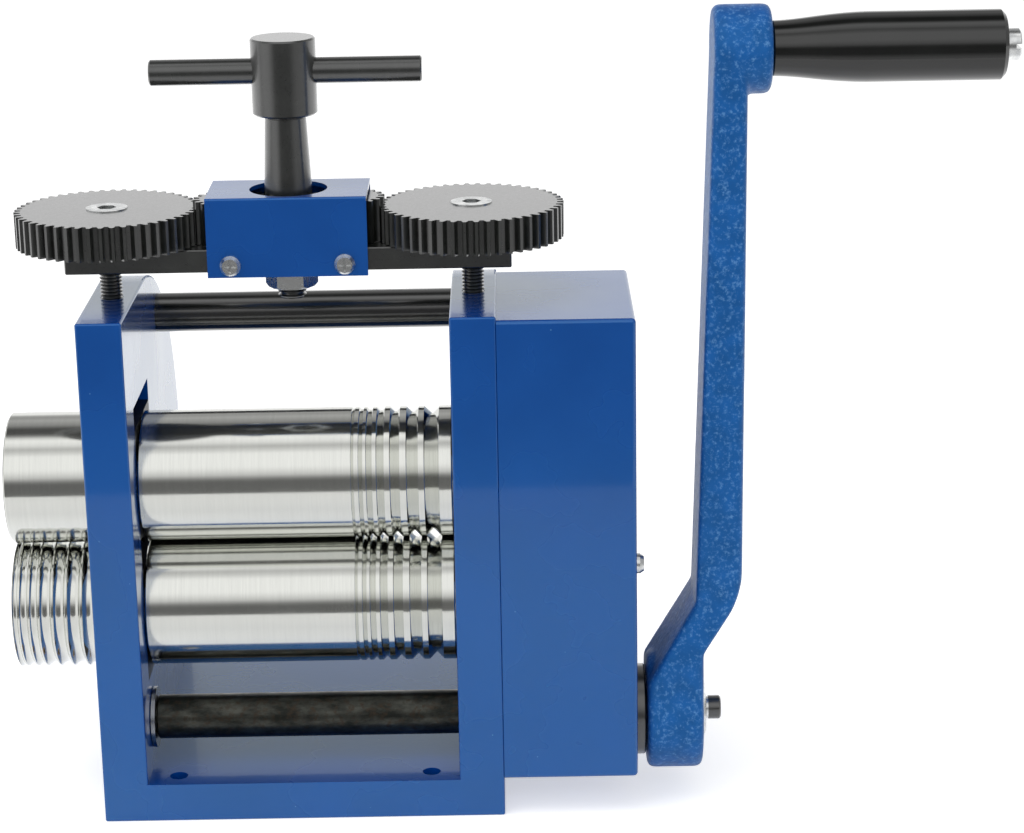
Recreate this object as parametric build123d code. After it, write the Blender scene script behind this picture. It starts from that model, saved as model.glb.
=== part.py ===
from build123d import *
from math import acos, cos, degrees, pi, radians, sin, sqrt, tan
import os

# Jewellers rolling mill, in millimetres.
# X runs along the rollers to the crank, Y to the back, Z up.
# The origin is the middle of the base plate's underside.

# ------------------------------------------------------------ fits
RUNNING = 0.05          # radial clearance of a shaft that turns or slides in its seat
SNUG = 0.02             # radial clearance of pieces that are clamped together
FACE_GAP = 0.3          # end float between faces that pass each other
EDGE_R = 0.8            # rounded edge of the painted plates

# ------------------------------------------------------------ tooth forms
PRESSURE = 20.0
ROLL_PRESSURE = 25.0    # stubby long-travel teeth of the roller gears
TIP = 1.0               # tooth height above the pitch circle, in modules
ROOT = 1.25             # depth below it
STUB_TIP = 0.8          # the same for the blunter teeth of the screw-down gears
STUB_ROOT = 1.0
BACKLASH = 0.16         # thinning of each tooth at the pitch circle

# ------------------------------------------------------------ frame
BASE_DEPTH = 144.0      # front to back, base and side plates alike
BASE_T = 14.0
PLATE_GAP = 111.5       # between the side plates
PLATE_T = 16.0
PLATE_H = 170.5
REAR_ARC_R = 84.0       # big round corner at the top rear of each side plate
WINDOW_W = 40.0         # slot in the side plate that holds the bearing blocks
WINDOW_BOTTOM = 47.0
WINDOW_TOP = 149.0
BENCH_HOLE_D = 6.5
BENCH_HOLE_X = 45.5
BENCH_HOLE_INSET = 8.0
BASE_SCREW_D = 6.0
BASE_SCREW_HEAD_D = 12.0
BASE_SCREW_L = 28.0
BASE_SCREW_SINK = 4.0   # depth of the countersunk head
BASE_SCREW_RECESS = 0.3 # head below the underside
BASE_SCREW_FRONT = 9.0  # from the front edge of the base
BASE_SCREW_REAR = 14.0  # from its rear edge
TIE_BAR_D = 14.6
TIE_BAR_SETBACK = 95.0
TIE_BAR_DROP = 20.5     # below the top of the side plates
TIE_SCREW_D = 8.0
TIE_SCREW_HEAD_D = 13.0
TIE_SCREW_HEAD_H = 8.0
TIE_SCREW_GRIP = 20.0   # thread in the end of the bar

FRONT = -BASE_DEPTH / 2
BACK = BASE_DEPTH / 2
PLATE_TOP = BASE_T + PLATE_H
INNER = PLATE_GAP / 2
OUTER = INNER + PLATE_T
TIE_BAR_Y = FRONT + TIE_BAR_SETBACK
TIE_BAR_Z = PLATE_TOP - TIE_BAR_DROP

# ------------------------------------------------------------ rollers and bearing blocks
ROLLER_D = 47.0
ROLLER_FLOAT = 0.5      # each end of a roller to the side plate
ROLL_SETBACK = 37.5     # roller axes behind the front of the frame
LOWER_AXIS_Z = 71.0
CLOSED_GAP = 0.3        # between the rollers when they are screwed down
LIFT = 4.0              # how far the upper roller opens
JOURNAL_D = 26.0
SEAT_D = 20.0           # seats of the gears and of the side rollers
SHOULDER_OUT = 1.0      # journals stand this far past the side plates
V_GROOVES = (           # centre from the side plate, width of each square-wire groove
    (7.8, 5.3), (14.6, 4.3), (20.8, 3.5), (25.9, 2.8), (29.8, 2.2), (32.8, 1.6), (35.7, 1.1),
)
BLOCK_SHORT = 18.0      # bearing block from its axis towards the other roller
BLOCK_LONG = 22.7       # and away from it
SPRING_COIL_D = 8.4
SPRING_WIRE_D = 1.2
SPRING_TURNS = 4.5
SPRING_OFFSET = 13.5    # each side of the roller axis
SPRING_POCKET_D = 10.0
SPRING_POCKET_H = 6.0

ROLL_Y = FRONT + ROLL_SETBACK
AXIS_SPACING = ROLLER_D + CLOSED_GAP
UPPER_AXIS_Z = LOWER_AXIS_Z + AXIS_SPACING
ROLLER_END = INNER - ROLLER_FLOAT
SHOULDER = OUTER + SHOULDER_OUT
BLOCK_W = WINDOW_W - 2 * RUNNING
LOWER_BLOCK_TOP = LOWER_AXIS_Z + BLOCK_SHORT
UPPER_BLOCK_BOTTOM = UPPER_AXIS_Z - BLOCK_SHORT
UPPER_BLOCK_TOP = UPPER_AXIS_Z + BLOCK_LONG

# ------------------------------------------------------------ side rollers
SIDE_ROLLER_L = 30.0
SIDE_SEAT_L = 17.0      # depth of the seat bore
SIDE_WEB_T = 4.0        # web that the clamping screw pulls on
SIDE_RECESS_D = 22.0
SIDE_SCREW_D = 8.0
SIDE_SCREW_HEAD_D = 13.0
SIDE_SCREW_HEAD_H = 8.0
SIDE_SCREW_GRIP = 13.0
SIDE_GROOVE_WIDTHS = (1.8, 3.1, 3.0, 4.3, 4.4, 4.9, 4.7)
SIDE_GROOVE_LAND = 0.5
SIDE_GROOVE_START = 0.25
SIDE_GROOVE_DEPTH = 0.27    # share of a round groove's width

# ------------------------------------------------------------ drive train in the gear case
CASE_W = 47.7
CASE_CLEAR = 0.75       # tips of the driven gear to the inside of the back wall
CASE_WALL = 2.0
CASE_DROP = 1.5         # below the top of the side plates
CASE_EDGE_R = 1.5
POST_D = 6.8
POST_WALL_GAP = 3.5     # post axis to the inside of the case wall
POST_FRONT_Z = 93.0
POST_REAR_LOW_Z = 30.0
POST_REAR_HIGH_Z = 150.0
POST_SPIGOT_D = 5.0
POST_SPIGOT_L = 6.0
PAN_SCREW_D = 4.0
PAN_HEAD_D = 7.2
PAN_HEAD_H = 2.6
PAN_SCREW_L = 10.0
ROLL_GEAR_TEETH = 13
ROLL_GEAR_W = 16.0
ROLL_GEAR_SLACK = 0.8   # the roller gears run this far out of full mesh when closed
DRIVE_MODULE = 1.5
PINION_TEETH = 16
DRIVEN_TEETH = 41
DRIVEN_GEAR_W = 12.0
PINION_EXTRA_W = 1.0    # the pinion is wider than its gear
GEAR_SPACER_L = 3.0
GEAR_SPACER_D = 28.0
CRANK_FORWARD = 13.0    # drive shaft in front of the roller axes
CIRCLIP_T = 1.2
CIRCLIP_DEPTH = 0.7
CIRCLIP_RIM = 2.6
SHAFT_TAIL = 2.0        # shaft past its circlip

ROLL_MODULE = (AXIS_SPACING - ROLL_GEAR_SLACK) / ROLL_GEAR_TEETH
ROLL_GEAR_X = SHOULDER
SPACER_X = ROLL_GEAR_X + ROLL_GEAR_W
DRIVEN_X = SPACER_X + GEAR_SPACER_L
DRIVEN_END = DRIVEN_X + DRIVEN_GEAR_W
PINION_X = DRIVEN_X - PINION_EXTRA_W / 2
PINION_END = DRIVEN_END + PINION_EXTRA_W / 2
DRIVE_CENTRES = DRIVE_MODULE * (PINION_TEETH + DRIVEN_TEETH) / 2
CRANK_DROP = sqrt(DRIVE_CENTRES**2 - CRANK_FORWARD**2)
CRANK_Y = ROLL_Y - CRANK_FORWARD
CRANK_Z = LOWER_AXIS_Z - CRANK_DROP
CASE_OUT = OUTER + CASE_W
CASE_BACK = ROLL_Y + DRIVE_MODULE * (DRIVEN_TEETH / 2 + TIP) + CASE_CLEAR + CASE_WALL
CASE_TOP = PLATE_TOP - CASE_DROP

# ------------------------------------------------------------ drive shaft, crank and grip
SHAFT_D = 16.0
SHAFT_LEFT_D = 12.0
SHAFT_RIGHT_D = 14.0
BUSH_WALL = 2.0
THRUST_WASHER_D = 22.0
THRUST_WASHER_T = 1.4
FLANGE_D = 33.0
FLANGE_T = 3.5
FLANGE_BARREL = 8.0     # bush barrel inwards from the outside of the case
KEY_W = 5.0
KEY_DEPTH = 3.0         # depth of a key in its shaft
CRANK_KEY_L = 14.0
CRANK_GAP = 0.5         # crank hub to the bush flange
HUB_T = 20.0
HUB_R = 21.3
ARM_LENGTH = 240.4      # shaft axis to grip axis
ARM_CRANKED_OUT = 17.2  # inner face of the arm past the hub's inner face, at the bend
ARM_LEAN = 5.9          # and how much more at the grip end
ARM_T_LOW = 16.4        # arm thickness at the bend
ARM_T_TOP = 11.6
HUB_CORNER_UP = 15.6    # the hub's inner corner above the shaft axis
BEND_UP = 45.5          # the bend above the shaft axis
BEND_OUT_UP = 48.0
HUB_NOTCH_UP = 27.0     # where the outer slope meets the hub's outer face
BEND_R = 8.0
ARM_HALF_W_HUB = 20.0
ARM_HALF_W_BEND = 16.2
ARM_HALF_W_TOP = 14.2
BOSS_D = 30.4
BOSS_L = 20.0
CAST_R = 2.2            # rounded edges of the casting
CRANK_WASHER_D = 22.6
CRANK_WASHER_T = 1.5
LOCK_WASHER_D = 8.0
LOCK_WASHER_T = 1.1
CRANK_SCREW_D = 5.0
CRANK_SCREW_HEAD_D = 8.6
CRANK_SCREW_HEAD_H = 4.5
CRANK_SCREW_L = 18.0
GRIP_L = 79.0
GRIP_D_SMALL = 18.8
GRIP_D = 23.9
GRIP_SWELL = 32.0       # length over which the grip widens
GRIP_CHAMFER = 1.4
GRIP_BOLT_D = 8.0
GRIP_BOLT_THREAD = 15.0
GRIP_BOLT_HEAD_D = 10.8
GRIP_BOLT_HEAD_L = 5.0
GRIP_BOLT_SLOT_W = 1.6
GRIP_BOLT_SLOT_DEPTH = 2.0

HUB_X = CASE_OUT + FLANGE_T + CRANK_GAP
HUB_END = HUB_X + HUB_T
GRIP_Z = CRANK_Z + ARM_LENGTH
ARM_IN_LOW = HUB_X + ARM_CRANKED_OUT
ARM_IN_TOP = ARM_IN_LOW + ARM_LEAN
BOSS_END = ARM_IN_TOP + BOSS_L
GRIP_X = BOSS_END + FACE_GAP
GRIP_END = GRIP_X + GRIP_L

# ------------------------------------------------------------ screw-down gear on top
BRIDGE_UP = 11.7        # underside of the crossbar above the side plates
CROSSBAR_L = 155.0
CROSSBAR_D = 29.0
CROSSBAR_T = 8.0
TEE_TEETH = 12
IDLER_TEETH = 20
SCREW_GEAR_TEETH = 50
SCREW_GEAR_T = 12.0
IDLER_H = 15.0
TEE_PINION_H = 16.0
COVER_W = 55.6
COVER_WALL = 1.5
COVER_UP = 18.3         # top of the cover above the crossbar
COVER_DROP = 1.6        # its edge below the crossbar
COVER_HOLE_D = 27.2
COVER_SCREW_X = 19.8
COVER_SCREW_UP = 2.8    # above the underside of the crossbar
IDLER_PIN_D = 6.0
IDLER_CLIP_T = 0.8
IDLER_CLIP_D = 10.0
IDLER_PIN_TAIL = 0.6
FEED_SCREW_D = 8.0
FEED_PITCH = 1.25
FEED_JOURNAL_D = 6.8
FEED_FLAT = 2.6         # flat on the journal, from its axis
FEED_JOURNAL_UP = 7.5   # journal into the gear
GEAR_SCREW_D = 4.0
GEAR_SCREW_HEAD_D = 14.5
GEAR_SCREW_HEAD_H = 4.4
GEAR_SCREW_PROUD = 0.4
GEAR_SCREW_L = 5.0      # thread in the journal
GEAR_SCREW_HEX = 6.0
NECK_D_LOW = 16.9
NECK_D_TOP = 14.3
NECK_L = 27.2
NECK_GROOVE_D = 12.6
NECK_GROOVE_W = 1.2
HEAD_D = 22.5
HEAD_H = 26.5
HEAD_EDGE = 0.6
TEE_BAR_D = 9.0
TEE_BAR_L = 94.0
TEE_BAR_SLIP = 0.7      # the bar sits this far off centre in the head
TEE_BAR_UP = 14.9       # bar axis above the underside of the head
TEE_BAR_EDGE = 0.5
TEE_JOURNAL_D = 10.0
TEE_PITCH = 1.5
TEE_STUB = 4.2          # thread below the nut
NUT_AF = 16.0
NUT_H = 8.0

FEED_X = INNER + PLATE_T / 2
SCREW_MODULE = 2 * FEED_X / (TEE_TEETH + 2 * IDLER_TEETH + SCREW_GEAR_TEETH)
IDLER_X = SCREW_MODULE * (TEE_TEETH + IDLER_TEETH) / 2
BRIDGE_Z = PLATE_TOP + BRIDGE_UP
BRIDGE_TOP = BRIDGE_Z + CROSSBAR_T
GEAR_Z = BRIDGE_TOP + FACE_GAP
GEAR_TOP = GEAR_Z + SCREW_GEAR_T
COVER_TOP = BRIDGE_TOP + COVER_UP
NECK_Z = GEAR_Z + TEE_PINION_H
HEAD_Z = NECK_Z + NECK_L + NECK_GROOVE_W
NUT_Z = BRIDGE_Z - FACE_GAP - NUT_H

# ------------------------------------------------------------ plain shapes
def block(x0, x1, y0, y1, z0, z1):
    """Rectangular solid between two opposite corners"""
    return Pos((x0 + x1) / 2, (y0 + y1) / 2, (z0 + z1) / 2) * Box(x1 - x0, y1 - y0, z1 - z0)


def rod_x(x0, x1, y, z, diameter):
    """Round bar along X"""
    return Pos((x0 + x1) / 2, y, z) * Rot(0, 90, 0) * Cylinder(diameter / 2, x1 - x0)


def rod_y(x, y0, y1, z, diameter):
    """Round bar along Y"""
    return Pos(x, (y0 + y1) / 2, z) * Rot(90, 0, 0) * Cylinder(diameter / 2, y1 - y0)


def rod_z(x, y, z0, z1, diameter):
    """Round bar along Z"""
    return Pos(x, y, (z0 + z1) / 2) * Cylinder(diameter / 2, z1 - z0)


def turned(points):
    """Solid of revolution about Z, from (radius, height) points in order"""
    outline = [(0, points[0][1])] + list(points) + [(0, points[-1][1])]
    face = make_face(Polyline(*[(radius, 0, height) for radius, height in outline], close=True))
    return revolve(face, Axis.Z, 360)


def along_x(solid, x, y, z):
    """Lay a solid that was made about Z along +X, with its foot at the given place"""
    return Pos(x, y, z) * Rot(0, 90, 0) * solid


def cone_head(diameter, shank, depth, z_top):
    """Countersunk head, with its flat top at the given height"""
    return turned([(shank / 2, z_top - depth), (diameter / 2, z_top - 0.4), (diameter / 2, z_top)])


def hexagon(across_flats, z0, z1):
    """Six-sided bar about Z"""
    return Pos(0, 0, z0) * extrude(RegularPolygon(across_flats / 2, 6, major_radius=False), z1 - z0)


def ring_thread(diameter, pitch, z0, z1):
    """Threaded length, its thread drawn as rings"""
    depth = 0.6 * pitch
    count = int((z1 - z0) / pitch)
    start = z1 - count * pitch
    points = [(diameter / 2 - depth, z0)]
    for turn in range(count):
        low = start + turn * pitch
        points.append((diameter / 2 - depth, low + 0.1 * pitch))
        points.append((diameter / 2, low + 0.45 * pitch))
        points.append((diameter / 2, low + 0.55 * pitch))
        points.append((diameter / 2 - depth, low + 0.9 * pitch))
    points.append((diameter / 2 - depth, z1))
    return turned(points)


def gear_face(teeth, module, pressure, first_tooth=0.0, tip=TIP, root=ROOT):
    """Flat spur gear outline about the origin, with a tooth on the first_tooth angle in degrees"""
    pitch_r = teeth * module / 2
    base_r = pitch_r * cos(radians(pressure))
    tip_r = pitch_r + tip * module
    root_r = pitch_r - root * module
    flank_r = max(base_r, root_r)
    involute = tan(radians(pressure)) - radians(pressure)
    half_tooth = pi / (2 * teeth) - BACKLASH / (2 * pitch_r)

    def half_angle(radius):
        swing = acos(min(1.0, base_r / max(radius, base_r)))
        return half_tooth + involute - (tan(swing) - swing)

    def at(radius, angle):
        return (radius * cos(angle), radius * sin(angle))

    mid_r = (flank_r + tip_r) / 2
    low, mid, top = half_angle(root_r), half_angle(mid_r), half_angle(tip_r)
    edges = []
    for tooth in range(teeth):
        axis = radians(first_tooth) + 2 * pi * tooth / teeth
        gap = axis + pi / teeth
        following = axis + 2 * pi / teeth
        if flank_r > root_r:
            edges.append(Line(at(root_r, axis - low), at(flank_r, axis - low)))
        edges.append(ThreePointArc(at(flank_r, axis - low), at(mid_r, axis - mid), at(tip_r, axis - top)))
        edges.append(ThreePointArc(at(tip_r, axis - top), at(tip_r, axis), at(tip_r, axis + top)))
        edges.append(ThreePointArc(at(tip_r, axis + top), at(mid_r, axis + mid), at(flank_r, axis + low)))
        if flank_r > root_r:
            edges.append(Line(at(flank_r, axis + low), at(root_r, axis + low)))
        edges.append(ThreePointArc(at(root_r, axis + low), at(root_r, gap), at(root_r, following - low)))
    return make_face(Wire(edges))


def gear_x(face, x0, x1, y, z):
    """Gear with its axis along X; angles of the outline run from +Y towards +Z"""
    return Pos(x0, y, z) * extrude(Plane.YZ * face, x1 - x0)


def gear_z(face, x, y, z0, z1):
    """Gear with its axis along Z"""
    return Pos(x, y, z0) * extrude(face, z1 - z0)


def key_x(x0, x1, y, z, shaft_d, play=0.0):
    """Parallel key on top of a shaft along X, or with play the slot it lies in"""
    floor = z + shaft_d / 2 - KEY_DEPTH
    half = KEY_W / 2 + play
    return block(x0 - play, x1 + play, y - half, y + half, floor - play, floor + KEY_W + play)


def circlip(shaft_d, thickness, rim=CIRCLIP_RIM, depth=CIRCLIP_DEPTH):
    """Open spring ring about Z, lying in a groove of its shaft"""
    bore = shaft_d - 2 * depth + 2 * SNUG
    ring = Cylinder(shaft_d / 2 + rim, thickness) - Cylinder(bore / 2, thickness)
    mouth = Pos(0, -shaft_d / 2 - rim / 2, 0) * Box(shaft_d * 0.4, shaft_d, thickness)
    return ring - mouth


def circlip_groove(shaft_d, thickness, depth=CIRCLIP_DEPTH):
    """Ring to cut from a shaft for its circlip"""
    wide = thickness + 2 * SNUG
    return Cylinder(shaft_d / 2 + 1, wide) - Cylinder(shaft_d / 2 - depth, wide)


def pan_screw(length):
    """Cross-recessed pan head screw, head up, underside of the head at Z 0"""
    head = [(PAN_HEAD_D / 2, 0), (PAN_HEAD_D / 2, PAN_HEAD_H * 0.45), (PAN_HEAD_D / 2 - 0.9, PAN_HEAD_H)]
    screw = turned([(PAN_SCREW_D / 2, -length), (PAN_SCREW_D / 2, 0)] + head)
    for turn in (0, 90):
        slot = Rot(0, 0, turn) * Box(PAN_HEAD_D * 0.62, 0.9, 2.6)
        screw -= Pos(0, 0, PAN_HEAD_H) * slot
    return screw


def cap_screw(shank_d, length, head_d, head_h, hex_af):
    """Hex socket cap screw, head up, underside of the head at Z 0"""
    edge = head_d * 0.06
    head = [(head_d / 2, 0), (head_d / 2, head_h - edge), (head_d / 2 - edge, head_h)]
    screw = turned([(shank_d / 2, -length), (shank_d / 2, 0)] + head)
    return screw - hexagon(hex_af, head_h * 0.45, head_h + 1)


# ------------------------------------------------------------ painted frame
def base_plate():
    """Flat base with the bench holes and the countersunk holes for the side plate screws"""
    plate = block(-OUTER, OUTER, FRONT, BACK, 0, BASE_T)
    plate = fillet(plate.edges().filter_by(Axis.Z), EDGE_R)
    plate = chamfer(plate.faces().sort_by(Axis.Z)[0].edges(), EDGE_R / 2)
    for x in (-BENCH_HOLE_X, BENCH_HOLE_X):
        for y in (FRONT + BENCH_HOLE_INSET, BACK - BENCH_HOLE_INSET):
            plate -= rod_z(x, y, -1, BASE_T + 1, BENCH_HOLE_D)
    for x, y in base_screw_places():
        plate -= rod_z(x, y, -1, BASE_T + 1, BASE_SCREW_D + 2 * RUNNING)
        head_d = BASE_SCREW_HEAD_D + 2 * RUNNING
        sink = cone_head(head_d, BASE_SCREW_D, BASE_SCREW_SINK, -BASE_SCREW_RECESS)
        plate -= Pos(x, y, 0) * Rot(180, 0, 0) * sink
        plate -= rod_z(x, y, -1, BASE_SCREW_RECESS, head_d)
    return plate


def base_screw_places():
    """Centres of the four screws that hold the side plates"""
    rows = (FRONT + BASE_SCREW_FRONT, BACK - BASE_SCREW_REAR)
    return [(x, y) for x in (-FEED_X, FEED_X) for y in rows]


def base_screws():
    """Four countersunk screws, driven from below"""
    head = cone_head(BASE_SCREW_HEAD_D, BASE_SCREW_D, BASE_SCREW_SINK, -BASE_SCREW_RECESS)
    screw = Rot(180, 0, 0) * head + rod_z(0, 0, 1, BASE_SCREW_L, BASE_SCREW_D - 2 * SNUG)
    screw -= hexagon(4.0, 0, 2.4)
    return Compound(children=[Pos(x, y, 0) * screw for x, y in base_screw_places()])


def side_plate(side):
    """Upright with the round rear corner, the bearing window and the bores; side is -1 or 1"""
    arc_y = BACK - REAR_ARC_R
    arc_z = PLATE_TOP - REAR_ARC_R
    half = REAR_ARC_R * sqrt(0.5)
    outline = [
        Line((FRONT, BASE_T), (FRONT, PLATE_TOP)),
        Line((FRONT, PLATE_TOP), (arc_y, PLATE_TOP)),
        ThreePointArc((arc_y, PLATE_TOP), (arc_y + half, arc_z + half), (BACK, arc_z)),
        Line((BACK, arc_z), (BACK, BASE_T)),
        Line((BACK, BASE_T), (FRONT, BASE_T)),
    ]
    x0 = INNER if side > 0 else -OUTER
    plate = Pos(x0, 0, 0) * extrude(Plane.YZ * make_face(Wire(outline)), PLATE_T)
    rim = [edge for edge in plate.edges() if edge.bounding_box().min.Z > BASE_T + 1]
    rim += [edge for edge in plate.edges().filter_by(Axis.Z) if edge.center().Y < FRONT + 1]
    plate = fillet(list({id(edge): edge for edge in rim}.values()), EDGE_R)
    plate -= block(x0 - 1, x0 + PLATE_T + 1, ROLL_Y - WINDOW_W / 2, ROLL_Y + WINDOW_W / 2,
                   WINDOW_BOTTOM, WINDOW_TOP)
    plate -= rod_z(side * FEED_X, ROLL_Y, WINDOW_TOP - 1, PLATE_TOP + 1, FEED_SCREW_D + 2 * RUNNING)
    shaft_d = SHAFT_RIGHT_D if side > 0 else SHAFT_LEFT_D
    plate -= rod_x(x0 - 1, x0 + PLATE_T + 1, CRANK_Y, CRANK_Z, shaft_d + 2 * BUSH_WALL + 2 * SNUG)
    plate -= rod_x(x0 - 1, x0 + PLATE_T + 1, TIE_BAR_Y, TIE_BAR_Z, TIE_SCREW_D + 2 * RUNNING)
    for x, y in base_screw_places():
        if x * side > 0:
            plate -= rod_z(x, y, BASE_T - 1, BASE_SCREW_L + 1, BASE_SCREW_D)
    if side > 0:
        for y, z in post_places():
            plate -= rod_x(OUTER - POST_SPIGOT_L - 1, OUTER + 1, y, z, POST_SPIGOT_D + 2 * SNUG)
    return plate


def upper_tie_bar():
    """Round bar between the side plates, with a threaded hole in each end"""
    bar = rod_x(-INNER, INNER, TIE_BAR_Y, TIE_BAR_Z, TIE_BAR_D)
    depth = TIE_SCREW_GRIP + 1
    bore = TIE_SCREW_D + 2 * SNUG
    for side in (-1, 1):
        ends = sorted((side * (INNER - depth), side * (INNER + 1)))
        bar -= rod_x(ends[0], ends[1], TIE_BAR_Y, TIE_BAR_Z, bore)
    return bar


def tie_bar_screws():
    """Socket screws through the side plates into the tie bar"""
    length = PLATE_T + TIE_SCREW_GRIP
    screw = cap_screw(TIE_SCREW_D, length, TIE_SCREW_HEAD_D, TIE_SCREW_HEAD_H, 6.0)
    right = along_x(screw, OUTER, TIE_BAR_Y, TIE_BAR_Z)
    return Compound(children=[right, mirror(right, Plane.YZ)])


# ------------------------------------------------------------ bearing blocks and lifting springs
def bearing_block(side, axis_z, z0, z1):
    """Bronze block that slides in the window and carries one journal"""
    x0 = INNER if side > 0 else -OUTER
    body = block(x0, x0 + PLATE_T, ROLL_Y - BLOCK_W / 2, ROLL_Y + BLOCK_W / 2, z0, z1)
    return body - rod_x(x0 - 1, x0 + PLATE_T + 1, ROLL_Y, axis_z, JOURNAL_D + 2 * RUNNING)


def lower_bearing(side):
    """Fixed block on the window's floor, with two spring pockets"""
    bearing = bearing_block(side, LOWER_AXIS_Z, WINDOW_BOTTOM, LOWER_BLOCK_TOP)
    for y in (ROLL_Y - SPRING_OFFSET, ROLL_Y + SPRING_OFFSET):
        bearing -= rod_z(side * FEED_X, y, LOWER_BLOCK_TOP - SPRING_POCKET_H, LOWER_BLOCK_TOP + 1,
                         SPRING_POCKET_D)
    return bearing


def lift_springs(side):
    """Two coil springs that push the upper block against its feed screw"""
    foot = LOWER_BLOCK_TOP - SPRING_POCKET_H
    height = UPPER_BLOCK_BOTTOM - foot - SPRING_WIRE_D
    radius = (SPRING_COIL_D - SPRING_WIRE_D) / 2
    path = Helix(height / SPRING_TURNS, height, radius)
    section = Plane(path @ 0, z_dir=path % 0) * Circle(SPRING_WIRE_D / 2)
    coil = Pos(0, 0, foot + SPRING_WIRE_D / 2) * sweep(section, path, is_frenet=True)
    rows = (ROLL_Y - SPRING_OFFSET, ROLL_Y + SPRING_OFFSET)
    return Compound(children=[Pos(side * FEED_X, y, 0) * coil for y in rows])


# ------------------------------------------------------------ rollers
def roller(axis_z, gear_end, groove_last):
    """Main roller: plain part, square-wire grooves, journals and seats in one piece"""
    radius = ROLLER_D / 2
    seat = SHOULDER + SIDE_SEAT_L - FACE_GAP
    points = [(SEAT_D / 2, -seat), (SEAT_D / 2, -SHOULDER)]
    points += [(JOURNAL_D / 2, -SHOULDER), (JOURNAL_D / 2, -ROLLER_END)]
    points += [(radius - 0.4, -ROLLER_END), (radius, -ROLLER_END + 0.4)]
    for centre, width in reversed(V_GROOVES):
        x = INNER - centre
        points += [(radius, x - width / 2), (radius - width / 2, x), (radius, x + width / 2)]
    points += [(radius, ROLLER_END - 0.4), (radius - 0.4, ROLLER_END)]
    points += [(JOURNAL_D / 2, ROLLER_END), (JOURNAL_D / 2, SHOULDER)]
    points += [(SEAT_D / 2, SHOULDER), (SEAT_D / 2, groove_last)]
    body = along_x(turned(points), 0, ROLL_Y, axis_z)
    body -= rod_x(-seat - 1, -seat + SIDE_SCREW_GRIP, ROLL_Y, axis_z, SIDE_SCREW_D + 2 * SNUG)
    body -= key_x(ROLL_GEAR_X + 1, gear_end - 1, ROLL_Y, axis_z, SEAT_D, SNUG)
    body -= key_x(-seat + 3, -SHOULDER - 1, ROLL_Y, axis_z, SEAT_D, SNUG)
    groove = circlip_groove(SEAT_D, CIRCLIP_T)
    return body - along_x(groove, gear_end + SNUG + CIRCLIP_T / 2, ROLL_Y, axis_z)


def roller_keys(axis_z, gear_end):
    """Keys of the gear end and of the side roller"""
    seat = SHOULDER + SIDE_SEAT_L - FACE_GAP
    gear_key = key_x(ROLL_GEAR_X + 1, gear_end - 1, ROLL_Y, axis_z, SEAT_D)
    side_key = key_x(-seat + 3, -SHOULDER - 1, ROLL_Y, axis_z, SEAT_D)
    return Compound(children=[gear_key, side_key])


def side_roller_blank(axis_z, outline_top):
    """Side roller outside the left plate, from the outline of its rim"""
    end = SHOULDER + SIDE_ROLLER_L
    body = outline_top
    body -= rod_x(-SHOULDER - SIDE_SEAT_L, -SHOULDER + 1, ROLL_Y, axis_z, SEAT_D + 2 * SNUG)
    body -= rod_x(-end - 1, -SHOULDER, ROLL_Y, axis_z, SIDE_SCREW_D + 2 * RUNNING)
    recess = -SHOULDER - SIDE_SEAT_L - SIDE_WEB_T
    body -= rod_x(-end - 1, recess, ROLL_Y, axis_z, SIDE_RECESS_D)
    slot = key_x(-SHOULDER - SIDE_SEAT_L, -SHOULDER + 1, ROLL_Y, axis_z, SEAT_D, SNUG)
    return body - slot


def upper_side_roller():
    """Plain side roller"""
    end = SHOULDER + SIDE_ROLLER_L
    edge = 0.5
    rim = [(ROLLER_D / 2 - edge, 0), (ROLLER_D / 2, edge)]
    rim += [(ROLLER_D / 2, SIDE_ROLLER_L - edge), (ROLLER_D / 2 - edge, SIDE_ROLLER_L)]
    blank = along_x(turned(rim), -end, ROLL_Y, UPPER_AXIS_Z)
    return side_roller_blank(UPPER_AXIS_Z, blank)


def lower_side_roller():
    """Side roller with round grooves for half-round wire"""
    end = SHOULDER + SIDE_ROLLER_L
    radius = ROLLER_D / 2
    edges = [Line((0, 0, 0), (radius, 0, 0))]
    height = SIDE_GROOVE_START
    edges.append(Line((radius, 0, 0), (radius, 0, height)))
    for number, width in enumerate(SIDE_GROOVE_WIDTHS):
        floor = (radius - SIDE_GROOVE_DEPTH * width, 0, height + width / 2)
        edges.append(ThreePointArc((radius, 0, height), floor, (radius, 0, height + width)))
        height += width
        last = number == len(SIDE_GROOVE_WIDTHS) - 1
        land_end = SIDE_ROLLER_L if last else height + SIDE_GROOVE_LAND
        edges.append(Line((radius, 0, height), (radius, 0, land_end)))
        height = land_end
    edges.append(Line((radius, 0, SIDE_ROLLER_L), (0, 0, SIDE_ROLLER_L)))
    edges.append(Line((0, 0, SIDE_ROLLER_L), (0, 0, 0)))
    blank = revolve(make_face(Wire(edges)), Axis.Z, 360)
    return side_roller_blank(LOWER_AXIS_Z, along_x(blank, -end, ROLL_Y, LOWER_AXIS_Z))


def side_screw(axis_z):
    """Socket screw that clamps a side roller onto its seat"""
    length = SIDE_WEB_T + SIDE_SCREW_GRIP - FACE_GAP
    screw = cap_screw(SIDE_SCREW_D, length, SIDE_SCREW_HEAD_D, SIDE_SCREW_HEAD_H, 6.0)
    seat = -SHOULDER - SIDE_SEAT_L - SIDE_WEB_T
    return Pos(seat, ROLL_Y, axis_z) * Rot(0, -90, 0) * screw


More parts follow.
